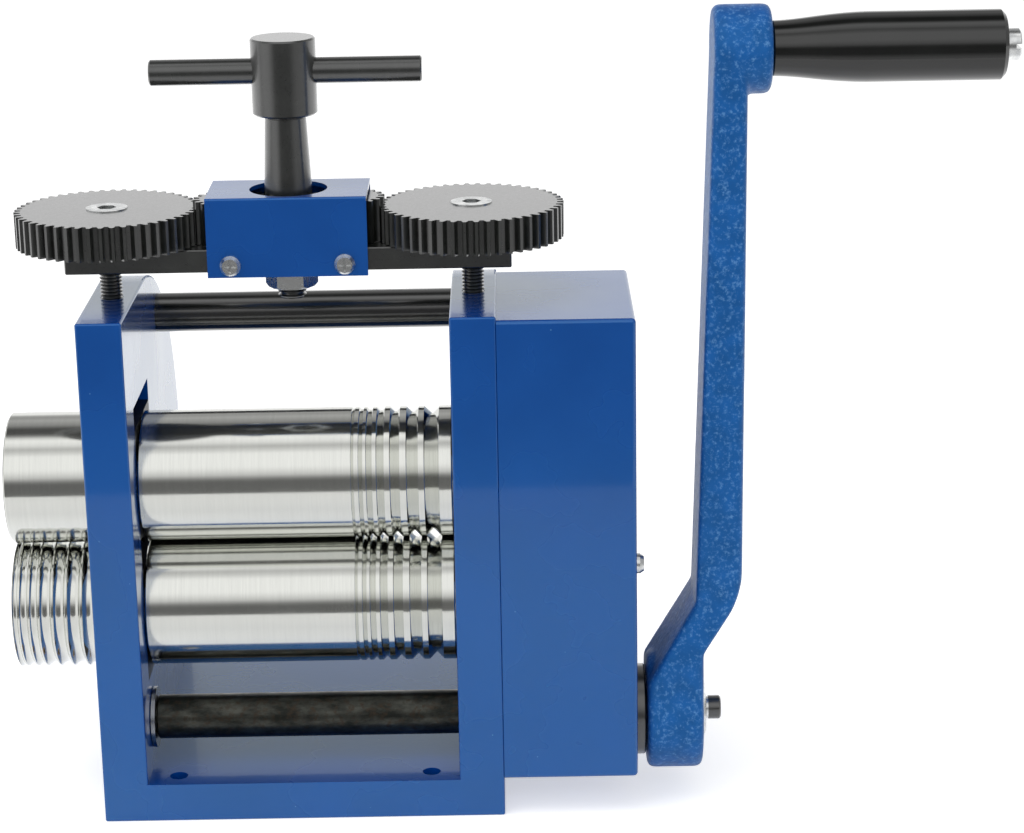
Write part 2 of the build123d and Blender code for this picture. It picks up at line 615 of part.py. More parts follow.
# ------------------------------------------------------------ gears in the case
def roller_gear(axis_z, first_tooth):
    """Long-toothed gear that makes the two rollers turn together"""
    face = gear_face(ROLL_GEAR_TEETH, ROLL_MODULE, ROLL_PRESSURE, first_tooth)
    gear = gear_x(face, ROLL_GEAR_X, SPACER_X, ROLL_Y, axis_z)
    gear -= rod_x(ROLL_GEAR_X - 1, SPACER_X + 1, ROLL_Y, axis_z, SEAT_D + 2 * SNUG)
    return gear - key_x(ROLL_GEAR_X - 1, SPACER_X + 1, ROLL_Y, axis_z, SEAT_D, SNUG)


def mesh_line():
    """Angle of the line from the lower roller's axis to the drive shaft, from +Y towards +Z"""
    return 180 + degrees(acos(CRANK_FORWARD / DRIVE_CENTRES))


def driven_gear():
    """Large gear on the lower roller, with a gap on the line to the pinion"""
    face = gear_face(DRIVEN_TEETH, DRIVE_MODULE, PRESSURE, mesh_line() + 180 / DRIVEN_TEETH)
    gear = gear_x(face, DRIVEN_X, DRIVEN_END, ROLL_Y, LOWER_AXIS_Z)
    gear -= rod_x(DRIVEN_X - 1, DRIVEN_END + 1, ROLL_Y, LOWER_AXIS_Z, SEAT_D + 2 * SNUG)
    return gear - key_x(DRIVEN_X - 1, DRIVEN_END + 1, ROLL_Y, LOWER_AXIS_Z, SEAT_D, SNUG)


def gear_spacer():
    """Plain ring between the two gears of the lower roller"""
    ring = rod_x(SPACER_X, DRIVEN_X, ROLL_Y, LOWER_AXIS_Z, GEAR_SPACER_D)
    ring -= rod_x(SPACER_X - 1, DRIVEN_X + 1, ROLL_Y, LOWER_AXIS_Z, SEAT_D + 2 * SNUG)
    return ring - key_x(SPACER_X - 1, DRIVEN_X + 1, ROLL_Y, LOWER_AXIS_Z, SEAT_D, SNUG)


def gear_circlip(axis_z, gear_end):
    """Circlip that keeps a roller's gears on their seat"""
    return along_x(circlip(SEAT_D, CIRCLIP_T), gear_end + SNUG + CIRCLIP_T / 2, ROLL_Y, axis_z)


def drive_pinion():
    """Small gear on the drive shaft, with a tooth on the line to the driven gear"""
    face = gear_face(PINION_TEETH, DRIVE_MODULE, PRESSURE, mesh_line() - 180)
    gear = gear_x(face, PINION_X, PINION_END, CRANK_Y, CRANK_Z)
    gear -= rod_x(PINION_X - 1, PINION_END + 1, CRANK_Y, CRANK_Z, SHAFT_RIGHT_D + 2 * SNUG)
    return gear - key_x(PINION_X - 1, PINION_END + 1, CRANK_Y, CRANK_Z, SHAFT_RIGHT_D, SNUG)


def post_places():
    """Y and Z of the posts that carry the gear case"""
    front = FRONT + CASE_WALL + POST_WALL_GAP
    rear = CASE_BACK - CASE_WALL - POST_WALL_GAP
    return [(front, POST_FRONT_Z), (rear, POST_REAR_LOW_Z), (rear, POST_REAR_HIGH_Z)]


def gear_case():
    """Painted case around the gears, open towards the side plate"""
    case = block(OUTER, CASE_OUT, FRONT, CASE_BACK, BASE_T, CASE_TOP)
    rounded = [edge for edge in case.edges() if edge.center().X > OUTER + 1]
    case = fillet(rounded, CASE_EDGE_R)
    case -= block(OUTER - 1, CASE_OUT - CASE_WALL, FRONT + CASE_WALL, CASE_BACK - CASE_WALL,
                  BASE_T + CASE_WALL, CASE_TOP - CASE_WALL)
    bore = SHAFT_RIGHT_D + 2 * BUSH_WALL + 2 * SNUG
    case -= rod_x(CASE_OUT - CASE_WALL - 1, CASE_OUT + 1, CRANK_Y, CRANK_Z, bore)
    for y, z in post_places():
        case -= rod_x(CASE_OUT - CASE_WALL - 1, CASE_OUT + 1, y, z, PAN_SCREW_D + 2 * RUNNING)
    return case


def gear_case_posts():
    """Three posts on the right side plate that the case is screwed to"""
    posts = []
    for y, z in post_places():
        post = rod_x(OUTER, CASE_OUT - CASE_WALL, y, z, POST_D)
        post += rod_x(OUTER - POST_SPIGOT_L, OUTER, y, z, POST_SPIGOT_D)
        hole = CASE_OUT - CASE_WALL - PAN_SCREW_L
        posts.append(post - rod_x(hole, CASE_OUT, y, z, PAN_SCREW_D + 2 * SNUG))
    return Compound(children=posts)


def gear_case_screws():
    """Pan head screws of the gear case"""
    screw = pan_screw(PAN_SCREW_L)
    return Compound(children=[along_x(screw, CASE_OUT, y, z) for y, z in post_places()])


# ------------------------------------------------------------ drive shaft and crank
def shaft_bush(side):
    """Plain bush of the drive shaft in a side plate"""
    x0 = INNER if side > 0 else -OUTER
    shaft_d = SHAFT_RIGHT_D if side > 0 else SHAFT_LEFT_D
    bush = rod_x(x0, x0 + PLATE_T, CRANK_Y, CRANK_Z, shaft_d + 2 * BUSH_WALL)
    return bush - rod_x(x0 - 1, x0 + PLATE_T + 1, CRANK_Y, CRANK_Z, shaft_d + 2 * RUNNING)


def shaft_flange_bush():
    """Flanged bush in the outer wall of the gear case"""
    bush = rod_x(CASE_OUT, CASE_OUT + FLANGE_T, CRANK_Y, CRANK_Z, FLANGE_D)
    bush = chamfer(bush.edges().group_by(Axis.X)[-1], 0.5)
    barrel_d = SHAFT_RIGHT_D + 2 * BUSH_WALL
    bush += rod_x(CASE_OUT - FLANGE_BARREL, CASE_OUT, CRANK_Y, CRANK_Z, barrel_d)
    ends = (CASE_OUT - FLANGE_BARREL - 1, CASE_OUT + FLANGE_T + 1)
    return bush - rod_x(ends[0], ends[1], CRANK_Y, CRANK_Z, SHAFT_RIGHT_D + 2 * RUNNING)


def drive_shaft():
    """Shaft across the frame and through the gear case, turned from one bar"""
    shoulder = INNER - THRUST_WASHER_T - 2 * FACE_GAP
    points = [(SHAFT_LEFT_D / 2, -OUTER + FACE_GAP), (SHAFT_LEFT_D / 2, -shoulder)]
    points += [(SHAFT_D / 2 - 0.5, -shoulder), (SHAFT_D / 2, -shoulder + 0.5)]
    points += [(SHAFT_D / 2, INNER - FACE_GAP), (SHAFT_RIGHT_D / 2, INNER - FACE_GAP)]
    points += [(SHAFT_RIGHT_D / 2, HUB_END - 0.5)]
    shaft = along_x(turned(points), 0, CRANK_Y, CRANK_Z)
    for x0, x1 in drive_key_spans():
        shaft -= key_x(x0, x1, CRANK_Y, CRANK_Z, SHAFT_RIGHT_D, SNUG)
    for x in pinion_circlip_places():
        shaft -= along_x(circlip_groove(SHAFT_RIGHT_D, CIRCLIP_T), x, CRANK_Y, CRANK_Z)
    hole = HUB_END - CRANK_SCREW_L
    return shaft - rod_x(hole, HUB_END + 1, CRANK_Y, CRANK_Z, CRANK_SCREW_D + 2 * SNUG)


def drive_key_spans():
    """Ends along X of the pinion key and of the crank key"""
    crank_key = HUB_X + (HUB_T - CRANK_KEY_L) / 2
    return [(PINION_X + 1, PINION_END - 1), (crank_key, crank_key + CRANK_KEY_L)]


def drive_keys():
    """Parallel keys of the pinion and the crank"""
    spans = drive_key_spans()
    keys = [key_x(x0, x1, CRANK_Y, CRANK_Z, SHAFT_RIGHT_D) for x0, x1 in spans]
    return Compound(children=keys)


def pinion_circlip_places():
    """Middle planes of the circlips beside the pinion"""
    reach = CIRCLIP_T / 2 + SNUG
    return (PINION_X - reach, PINION_END + reach)


def pinion_circlips():
    """Circlips each side of the pinion"""
    ring = circlip(SHAFT_RIGHT_D, CIRCLIP_T)
    return Compound(children=[along_x(ring, x, CRANK_Y, CRANK_Z) for x in pinion_circlip_places()])


def shaft_thrust_washer():
    """Thrust washer between the shaft's left shoulder and the side plate"""
    x0 = -INNER + FACE_GAP
    x1 = x0 + THRUST_WASHER_T
    washer = rod_x(x0, x1, CRANK_Y, CRANK_Z, THRUST_WASHER_D)
    return washer - rod_x(x0 - 1, x1 + 1, CRANK_Y, CRANK_Z, SHAFT_LEFT_D + 2 * SNUG)


def crank_arm():
    """Cast crank: round hub, arm cranked outwards and tapering, boss for the grip"""
    bend_in = (ARM_IN_LOW, CRANK_Z + BEND_UP)
    bend_out = (ARM_IN_LOW + ARM_T_LOW, CRANK_Z + BEND_OUT_UP)
    side = [
        (HUB_X, CRANK_Z), (HUB_X, CRANK_Z + HUB_CORNER_UP), bend_in, (ARM_IN_TOP, GRIP_Z),
        (ARM_IN_TOP + ARM_T_TOP, GRIP_Z), bend_out, (HUB_END, CRANK_Z + HUB_NOTCH_UP),
        (HUB_END, CRANK_Z),
    ]
    profile = make_face(Polyline(*side, close=True))
    corner = profile.vertices().sort_by_distance((bend_out[0], bend_out[1], 0))[0]
    profile = fillet(corner, BEND_R)
    slab = Pos(0, CRANK_Y, 0) * extrude(Plane.XZ * profile, HUB_R, both=True)
    face = [
        (-ARM_HALF_W_HUB, CRANK_Z), (-ARM_HALF_W_HUB, CRANK_Z + HUB_CORNER_UP / 2),
        (-ARM_HALF_W_BEND, CRANK_Z + BEND_UP), (-ARM_HALF_W_TOP, GRIP_Z),
        (ARM_HALF_W_TOP, GRIP_Z), (ARM_HALF_W_BEND, CRANK_Z + BEND_UP),
        (ARM_HALF_W_HUB, CRANK_Z + HUB_CORNER_UP / 2), (ARM_HALF_W_HUB, CRANK_Z),
    ]
    front = make_face(Polyline(*face, close=True))
    width = Pos(HUB_X - 1, CRANK_Y, 0) * extrude(Plane.YZ * front, BOSS_END - HUB_X + 2)
    arm = slab & width
    hub = rod_x(HUB_X, HUB_END, CRANK_Y, CRANK_Z, 2 * HUB_R)
    hub = fillet(hub.edges().filter_by(GeomType.CIRCLE), CAST_R)
    boss = rod_x(ARM_IN_TOP, BOSS_END, CRANK_Y, GRIP_Z, BOSS_D)
    boss = fillet(boss.edges().filter_by(GeomType.CIRCLE), CAST_R)
    arm = arm + hub + boss
    arm -= rod_x(HUB_X - 1, HUB_END + 1, CRANK_Y, CRANK_Z, SHAFT_RIGHT_D + 2 * SNUG)
    arm -= key_x(HUB_X - 1, HUB_END + 1, CRANK_Y, CRANK_Z, SHAFT_RIGHT_D, SNUG)
    hole = BOSS_END - GRIP_BOLT_THREAD
    return arm - rod_x(hole, BOSS_END + 1, CRANK_Y, GRIP_Z, GRIP_BOLT_D + 2 * SNUG)


def crank_washer():
    """Domed washer against the crank hub"""
    rim = [(CRANK_WASHER_D / 2, 0), (CRANK_WASHER_D / 2, 0.5), (CRANK_WASHER_D / 2 - 2.5, CRANK_WASHER_T)]
    washer = turned(rim) - rod_z(0, 0, -1, CRANK_WASHER_T + 1, CRANK_SCREW_D + 2 * SNUG)
    return along_x(washer, HUB_END, CRANK_Y, CRANK_Z)


def crank_lock_washer():
    """Lock washer under the crank screw's head"""
    x0 = HUB_END + CRANK_WASHER_T
    washer = rod_x(x0, x0 + LOCK_WASHER_T, CRANK_Y, CRANK_Z, LOCK_WASHER_D)
    bore = CRANK_SCREW_D + 2 * SNUG
    return washer - rod_x(x0 - 1, x0 + LOCK_WASHER_T + 1, CRANK_Y, CRANK_Z, bore)


def crank_screw():
    """Socket screw in the end of the drive shaft"""
    seat = HUB_END + CRANK_WASHER_T + LOCK_WASHER_T
    length = seat - HUB_END + CRANK_SCREW_L - 1
    screw = cap_screw(CRANK_SCREW_D, length, CRANK_SCREW_HEAD_D, CRANK_SCREW_HEAD_H, 4.0)
    return along_x(screw, seat, CRANK_Y, CRANK_Z)


def grip_bolt():
    """Shoulder bolt through the grip, with a slotted end"""
    foot = BOSS_END - GRIP_BOLT_THREAD + 1
    shank = GRIP_END + FACE_GAP - foot
    edge = 0.5
    points = [(GRIP_BOLT_D / 2, 0), (GRIP_BOLT_D / 2, shank), (GRIP_BOLT_HEAD_D / 2, shank)]
    points += [(GRIP_BOLT_HEAD_D / 2, shank + GRIP_BOLT_HEAD_L - edge)]
    points += [(GRIP_BOLT_HEAD_D / 2 - edge, shank + GRIP_BOLT_HEAD_L)]
    bolt = turned(points)
    slot_z = shank + GRIP_BOLT_HEAD_L - GRIP_BOLT_SLOT_DEPTH / 2
    bolt -= Pos(0, 0, slot_z) * Box(GRIP_BOLT_SLOT_W, GRIP_BOLT_HEAD_D + 2, GRIP_BOLT_SLOT_DEPTH)
    return along_x(bolt, foot, CRANK_Y, GRIP_Z)


def handle_grip():
    """Black grip that turns on its bolt, slim at the crank and fuller at the end"""
    small = GRIP_D_SMALL / 2
    full = GRIP_D / 2
    edges = [
        Line((0, 0, 0), (small - 0.6, 0, 0)),
        Line((small - 0.6, 0, 0), (small, 0, 0.6)),
        Spline((small, 0, 0.6), (small + 0.55 * (full - small), 0, GRIP_SWELL * 0.5), (full, 0, GRIP_SWELL),
               tangents=[(0.02, 0, 1), (0.02, 0, 1)]),
        Line((full, 0, GRIP_SWELL), (full, 0, GRIP_L - GRIP_CHAMFER)),
        Line((full, 0, GRIP_L - GRIP_CHAMFER), (full - GRIP_CHAMFER, 0, GRIP_L)),
        Line((full - GRIP_CHAMFER, 0, GRIP_L), (0, 0, GRIP_L)),
        Line((0, 0, GRIP_L), (0, 0, 0)),
    ]
    grip = revolve(make_face(Wire(edges)), Axis.Z, 360)
    grip -= rod_z(0, 0, -1, GRIP_L + 1, GRIP_BOLT_D + 2 * RUNNING)
    return along_x(grip, GRIP_X, CRANK_Y, GRIP_Z)


# ------------------------------------------------------------ screw-down gear
def crossbar():
    """Flat bar that carries the screw-down gears and joins the two feed screws"""
    y0 = ROLL_Y - CROSSBAR_D / 2
    y1 = ROLL_Y + CROSSBAR_D / 2
    bar = block(-CROSSBAR_L / 2, CROSSBAR_L / 2, y0, y1, BRIDGE_Z, BRIDGE_TOP)
    bar = chamfer(bar.edges(), 0.4)
    for side in (-1, 1):
        bore = FEED_JOURNAL_D + 2 * RUNNING
        bar -= rod_z(side * FEED_X, ROLL_Y, BRIDGE_Z - 1, BRIDGE_TOP + 1, bore)
        bar -= rod_z(side * IDLER_X, ROLL_Y, BRIDGE_Z - 1, BRIDGE_TOP + 1, IDLER_PIN_D + 2 * SNUG)
        for back in (-1, 1):
            edge = ROLL_Y + back * CROSSBAR_D / 2
            ends = sorted((edge + back, edge - back * (PAN_SCREW_L - COVER_WALL)))
            bar -= rod_y(side * COVER_SCREW_X, ends[0], ends[1], BRIDGE_Z + COVER_SCREW_UP,
                         PAN_SCREW_D + 2 * SNUG)
    return bar - rod_z(0, ROLL_Y, BRIDGE_Z - 1, BRIDGE_TOP + 1, TEE_JOURNAL_D + 2 * RUNNING)


def pinion_cover():
    """Painted channel over the pinion and idlers, open at both ends"""
    half_w = COVER_W / 2
    half_d = CROSSBAR_D / 2 + COVER_WALL
    foot = BRIDGE_Z - COVER_DROP
    cover = block(-half_w, half_w, ROLL_Y - half_d, ROLL_Y + half_d, foot, COVER_TOP)
    cover = fillet(cover.edges().filter_by(Axis.X).group_by(Axis.Z)[-1], EDGE_R)
    half_in = CROSSBAR_D / 2
    cover -= block(-half_w - 1, half_w + 1, ROLL_Y - half_in, ROLL_Y + half_in, foot - 1,
                   COVER_TOP - COVER_WALL)
    cover -= rod_z(0, ROLL_Y, COVER_TOP - COVER_WALL - 1, COVER_TOP + 1, COVER_HOLE_D)
    for side in (-1, 1):
        cover -= rod_y(side * COVER_SCREW_X, ROLL_Y - half_d - 1, ROLL_Y + half_d + 1,
                       BRIDGE_Z + COVER_SCREW_UP, PAN_SCREW_D + 2 * RUNNING)
    return cover


def cover_screws():
    """Pan head screws of the cover, two in front and two behind"""
    screw = pan_screw(PAN_SCREW_L - 1)
    reach = CROSSBAR_D / 2 + COVER_WALL
    height = BRIDGE_Z + COVER_SCREW_UP
    screws = []
    for x in (-COVER_SCREW_X, COVER_SCREW_X):
        screws.append(Pos(x, ROLL_Y - reach, height) * Rot(90, 0, 0) * screw)
        screws.append(Pos(x, ROLL_Y + reach, height) * Rot(-90, 0, 0) * screw)
    return Compound(children=screws)


def idler_clip_z():
    """Middle height of the clips over the idlers"""
    return GEAR_Z + IDLER_H + SNUG + RUNNING + IDLER_CLIP_T / 2


def idler_pins():
    """Pins that the idlers turn on, fixed in the crossbar"""
    top = idler_clip_z() + IDLER_CLIP_T / 2 + IDLER_PIN_TAIL
    pin = rod_z(0, 0, BRIDGE_Z, top, IDLER_PIN_D)
    pin -= Pos(0, 0, idler_clip_z()) * circlip_groove(IDLER_PIN_D, IDLER_CLIP_T)
    return Compound(children=[Pos(side * IDLER_X, ROLL_Y, 0) * pin for side in (-1, 1)])


def idler_circlips():
    """Clips that keep the idlers on their pins"""
    ring = circlip(IDLER_PIN_D, IDLER_CLIP_T, (IDLER_CLIP_D - IDLER_PIN_D) / 2)
    places = [(side * IDLER_X, ROLL_Y, idler_clip_z()) for side in (-1, 1)]
    return Compound(children=[Pos(*place) * ring for place in places])


def idler_gear(side):
    """Idler between the pinion and one screw gear, with gaps on the line of centres"""
    face = gear_face(IDLER_TEETH, SCREW_MODULE, PRESSURE, 180 / IDLER_TEETH, STUB_TIP, STUB_ROOT)
    gear = gear_z(face, side * IDLER_X, ROLL_Y, GEAR_Z, GEAR_Z + IDLER_H)
    return gear - rod_z(side * IDLER_X, ROLL_Y, GEAR_Z - 1, GEAR_Z + IDLER_H + 1,
                        IDLER_PIN_D + 2 * RUNNING)


def feed_journal(z0, z1, play=0.0):
    """Journal with a flat that drives the screw gear, about Z"""
    flat = FEED_FLAT + play
    journal = rod_z(0, 0, z0, z1, FEED_JOURNAL_D + 2 * play)
    return journal - block(flat, FEED_JOURNAL_D, -FEED_JOURNAL_D, FEED_JOURNAL_D, z0 - 1, z1 + 1)


def feed_screw(side):
    """Threaded feed screw that presses on the upper bearing block"""
    shoulder = BRIDGE_Z - RUNNING
    foot = UPPER_BLOCK_TOP + FACE_GAP
    screw = turned([(FEED_SCREW_D / 2 - 1.5, foot), (FEED_SCREW_D / 2 - 1.5, foot + 3)])
    screw += ring_thread(FEED_SCREW_D, FEED_PITCH, foot + 3, shoulder)
    screw += rod_z(0, 0, shoulder, GEAR_Z, FEED_JOURNAL_D)
    screw += feed_journal(GEAR_Z, GEAR_Z + FEED_JOURNAL_UP)
    hole = GEAR_Z + FEED_JOURNAL_UP
    screw -= rod_z(0, 0, hole - GEAR_SCREW_L - 1, hole + 1, GEAR_SCREW_D + 2 * SNUG)
    return Pos(side * FEED_X, ROLL_Y, 0) * screw


def screw_gear(side):
    """Large gear on a feed screw, with a tooth on the line to its idler"""
    face = gear_face(SCREW_GEAR_TEETH, SCREW_MODULE, PRESSURE, 0, STUB_TIP, STUB_ROOT)
    gear = gear_z(face, 0, 0, GEAR_Z, GEAR_TOP)
    gear -= feed_journal(GEAR_Z - 1, GEAR_Z + FEED_JOURNAL_UP + SNUG, SNUG)
    gear -= rod_z(0, 0, GEAR_Z, GEAR_TOP + 1, GEAR_SCREW_D + 2 * RUNNING)
    head_d = GEAR_SCREW_HEAD_D + 2 * RUNNING
    gear -= cone_head(head_d, GEAR_SCREW_D + 2 * RUNNING, GEAR_SCREW_HEAD_H, GEAR_TOP + GEAR_SCREW_PROUD)
    return Pos(side * FEED_X, ROLL_Y, 0) * gear


def gear_screw(side):
    """Countersunk socket screw that clamps a screw gear to its feed screw"""
    top = GEAR_TOP + GEAR_SCREW_PROUD
    screw = cone_head(GEAR_SCREW_HEAD_D, GEAR_SCREW_D, GEAR_SCREW_HEAD_H, top)
    foot = GEAR_Z + FEED_JOURNAL_UP - GEAR_SCREW_L
    screw += rod_z(0, 0, foot, top - GEAR_SCREW_HEAD_H, GEAR_SCREW_D)
    screw -= hexagon(GEAR_SCREW_HEX, top - 3.0, top + 1)
    return Pos(side * FEED_X, ROLL_Y, 0) * screw


def tee_spindle():
    """Spindle turned from one bar: head, tapered neck, pinion, journal and threaded end"""
    face = gear_face(TEE_TEETH, SCREW_MODULE, PRESSURE, 0, STUB_TIP, STUB_ROOT)
    foot = NUT_Z - TEE_STUB
    spindle = gear_z(face, 0, 0, GEAR_Z, NECK_Z)
    spindle += rod_z(0, 0, NUT_Z + NUT_H, GEAR_Z, TEE_JOURNAL_D)
    spindle += ring_thread(TEE_JOURNAL_D, TEE_PITCH, foot, NUT_Z + NUT_H)
    neck_top = NECK_Z + NECK_L
    points = [(NECK_D_LOW / 2, NECK_Z), (NECK_D_TOP / 2, neck_top), (NECK_GROOVE_D / 2, neck_top)]
    points += [(NECK_GROOVE_D / 2, HEAD_Z), (HEAD_D / 2 - HEAD_EDGE, HEAD_Z)]
    points += [(HEAD_D / 2, HEAD_Z + HEAD_EDGE), (HEAD_D / 2, HEAD_Z + HEAD_H - HEAD_EDGE)]
    points += [(HEAD_D / 2 - HEAD_EDGE, HEAD_Z + HEAD_H)]
    spindle += turned(points)
    spindle = Pos(0, ROLL_Y, 0) * spindle
    return spindle - rod_x(-HEAD_D, HEAD_D, ROLL_Y, HEAD_Z + TEE_BAR_UP, TEE_BAR_D + 2 * SNUG)


def tee_bar():
    """Round cross bar through the spindle's head"""
    ends = (TEE_BAR_SLIP - TEE_BAR_L / 2, TEE_BAR_SLIP + TEE_BAR_L / 2)
    bar = rod_x(ends[0], ends[1], ROLL_Y, HEAD_Z + TEE_BAR_UP, TEE_BAR_D)
    return chamfer(bar.edges().filter_by(GeomType.CIRCLE), TEE_BAR_EDGE)


def tee_nut():
    """Hexagon nut under the crossbar, locked to the spindle"""
    corner = NUT_AF / sqrt(3)
    edge = (corner - NUT_AF / 2) * 0.8
    rim = [(corner - edge, NUT_Z), (corner, NUT_Z + edge), (corner, NUT_Z + NUT_H - edge)]
    nut = hexagon(NUT_AF, NUT_Z, NUT_Z + NUT_H) & turned(rim + [(corner - edge, NUT_Z + NUT_H)])
    nut -= rod_z(0, 0, NUT_Z - 1, NUT_Z + NUT_H + 1, TEE_JOURNAL_D + 2 * SNUG)
    return Pos(0, ROLL_Y, 0) * nut


# ------------------------------------------------------------ the assembly
LOWER_GEAR_END = DRIVEN_END
UPPER_GEAR_END = SPACER_X
ROLL_SPLIT = 180 / ROLL_GEAR_TEETH

PIECES = {
    "base_plate": base_plate(),
    "base_screws": base_screws(),
    "left_side_plate": side_plate(-1),
    "right_side_plate": side_plate(1),
    "upper_tie_bar": upper_tie_bar(),
    "tie_bar_screws": tie_bar_screws(),
    "lower_left_bearing": lower_bearing(-1),
    "lower_right_bearing": lower_bearing(1),
    "upper_left_bearing": bearing_block(-1, UPPER_AXIS_Z, UPPER_BLOCK_BOTTOM, UPPER_BLOCK_TOP),
    "upper_right_bearing": bearing_block(1, UPPER_AXIS_Z, UPPER_BLOCK_BOTTOM, UPPER_BLOCK_TOP),
    "left_lift_springs": lift_springs(-1),
    "right_lift_springs": lift_springs(1),
    "lower_roller": roller(LOWER_AXIS_Z, LOWER_GEAR_END, LOWER_GEAR_END + CIRCLIP_T + SHAFT_TAIL),
    "upper_roller": roller(UPPER_AXIS_Z, UPPER_GEAR_END, UPPER_GEAR_END + CIRCLIP_T + SHAFT_TAIL),
    "lower_roller_keys": roller_keys(LOWER_AXIS_Z, LOWER_GEAR_END),
    "upper_roller_keys": roller_keys(UPPER_AXIS_Z, UPPER_GEAR_END),
    "lower_side_roller": lower_side_roller(),
    "upper_side_roller": upper_side_roller(),
    "lower_side_screw": side_screw(LOWER_AXIS_Z),
    "upper_side_screw": side_screw(UPPER_AXIS_Z),
    "lower_roller_gear": roller_gear(LOWER_AXIS_Z, 90),
    "upper_roller_gear": roller_gear(UPPER_AXIS_Z, -90 + ROLL_SPLIT),
    "driven_gear": driven_gear(),
    "gear_spacer": gear_spacer(),
    "lower_gear_circlip": gear_circlip(LOWER_AXIS_Z, LOWER_GEAR_END),
    "upper_gear_circlip": gear_circlip(UPPER_AXIS_Z, UPPER_GEAR_END),
    "drive_pinion": drive_pinion(),
    "drive_keys": drive_keys(),
    "pinion_circlips": pinion_circlips(),
    "gear_case": gear_case(),
    "gear_case_posts": gear_case_posts(),
    "gear_case_screws": gear_case_screws(),
    "shaft_bush_left": shaft_bush(-1),
    "shaft_bush_right": shaft_bush(1),
    "shaft_flange_bush": shaft_flange_bush(),
    "drive_shaft": drive_shaft(),
    "shaft_thrust_washer": shaft_thrust_washer(),
    "crank_arm": crank_arm(),
    "crank_washer": crank_washer(),
    "crank_lock_washer": crank_lock_washer(),
    "crank_screw": crank_screw(),
    "grip_bolt": grip_bolt(),
    "handle_grip": handle_grip(),
    "crossbar": crossbar(),
    "pinion_cover": pinion_cover(),
    "cover_screws": cover_screws(),
    "idler_pins": idler_pins(),
    "idler_circlips": idler_circlips(),
    "left_idler_gear": idler_gear(-1),
    "right_idler_gear": idler_gear(1),
    "left_feed_screw": feed_screw(-1),
    "right_feed_screw": feed_screw(1),
    "left_screw_gear": screw_gear(-1),
    "right_screw_gear": screw_gear(1),
    "left_gear_screw": gear_screw(-1),
    "right_gear_screw": gear_screw(1),
    "tee_spindle": tee_spindle(),
    "tee_bar": tee_bar(),
    "tee_nut": tee_nut(),
}

for name, piece in PIECES.items():
    export_step(piece, f"parts/{name}.step")
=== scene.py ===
"""Looks of a jewellers rolling mill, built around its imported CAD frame.

Metres throughout, in the frame of the CAD model: X along the rollers to the crank, Y to the back, Z up.
"""

import math

import bpy
from mathutils import Matrix, Vector


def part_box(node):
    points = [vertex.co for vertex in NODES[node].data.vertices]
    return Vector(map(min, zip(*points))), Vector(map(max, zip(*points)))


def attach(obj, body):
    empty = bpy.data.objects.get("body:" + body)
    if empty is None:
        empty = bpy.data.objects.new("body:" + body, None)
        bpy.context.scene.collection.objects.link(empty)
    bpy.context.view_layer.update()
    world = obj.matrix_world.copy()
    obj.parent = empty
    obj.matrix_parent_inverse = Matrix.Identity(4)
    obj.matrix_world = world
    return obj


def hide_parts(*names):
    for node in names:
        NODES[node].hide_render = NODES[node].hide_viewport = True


bl_info = {
    "name": "Jewellers Rolling Mill Looks",
    "version": (1, 0, 0),
    "blender": (4, 5, 0),
    "location": "3D View > Sidebar > Rolling Mill",
    "description": "Finishes, crank casting, lights and camera for a bench rolling mill",
    "category": "Object",
}

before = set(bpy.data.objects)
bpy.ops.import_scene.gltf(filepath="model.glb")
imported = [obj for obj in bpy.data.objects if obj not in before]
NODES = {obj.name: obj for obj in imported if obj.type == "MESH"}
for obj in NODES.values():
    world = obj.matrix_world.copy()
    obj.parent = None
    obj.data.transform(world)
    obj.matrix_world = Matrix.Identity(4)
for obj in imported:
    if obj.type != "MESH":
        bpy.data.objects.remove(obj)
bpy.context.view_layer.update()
MM = 0.001

PAINTED_PLATES = ("base_plate", "left_side_plate", "right_side_plate", "gear_case", "pinion_cover")
ROLLERS = ("lower_roller", "upper_roller")
SIDE_ROLLERS = ("lower_side_roller", "upper_side_roller")
GROUND_SMALL = (
    "lower_roller_keys", "upper_roller_keys", "drive_keys", "idler_pins", "gear_case_posts",
    "shaft_thrust_washer",
)
BLACK_OXIDE = (
    "crossbar", "left_idler_gear", "right_idler_gear", "left_screw_gear", "right_screw_gear",
    "left_feed_screw", "right_feed_screw", "tee_spindle", "tee_bar", "crank_screw",
    "shaft_flange_bush", "lower_side_screw", "upper_side_screw",
)
CASE_GEARS = ("lower_roller_gear", "upper_roller_gear", "driven_gear", "gear_spacer", "drive_pinion")
BRIGHT_ZINC = (
    "base_screws", "tie_bar_screws", "gear_case_screws", "cover_screws", "crank_washer",
    "crank_lock_washer", "left_gear_screw", "right_gear_screw", "tee_nut", "grip_bolt",
)
BLOCKS = ("lower_left_bearing", "lower_right_bearing", "upper_left_bearing", "upper_right_bearing")
BUSHES = ("shaft_bush_left", "shaft_bush_right")
SPRING_STEEL = (
    "left_lift_springs", "right_lift_springs", "lower_gear_circlip", "upper_gear_circlip",
    "pinion_circlips", "idler_circlips",
)


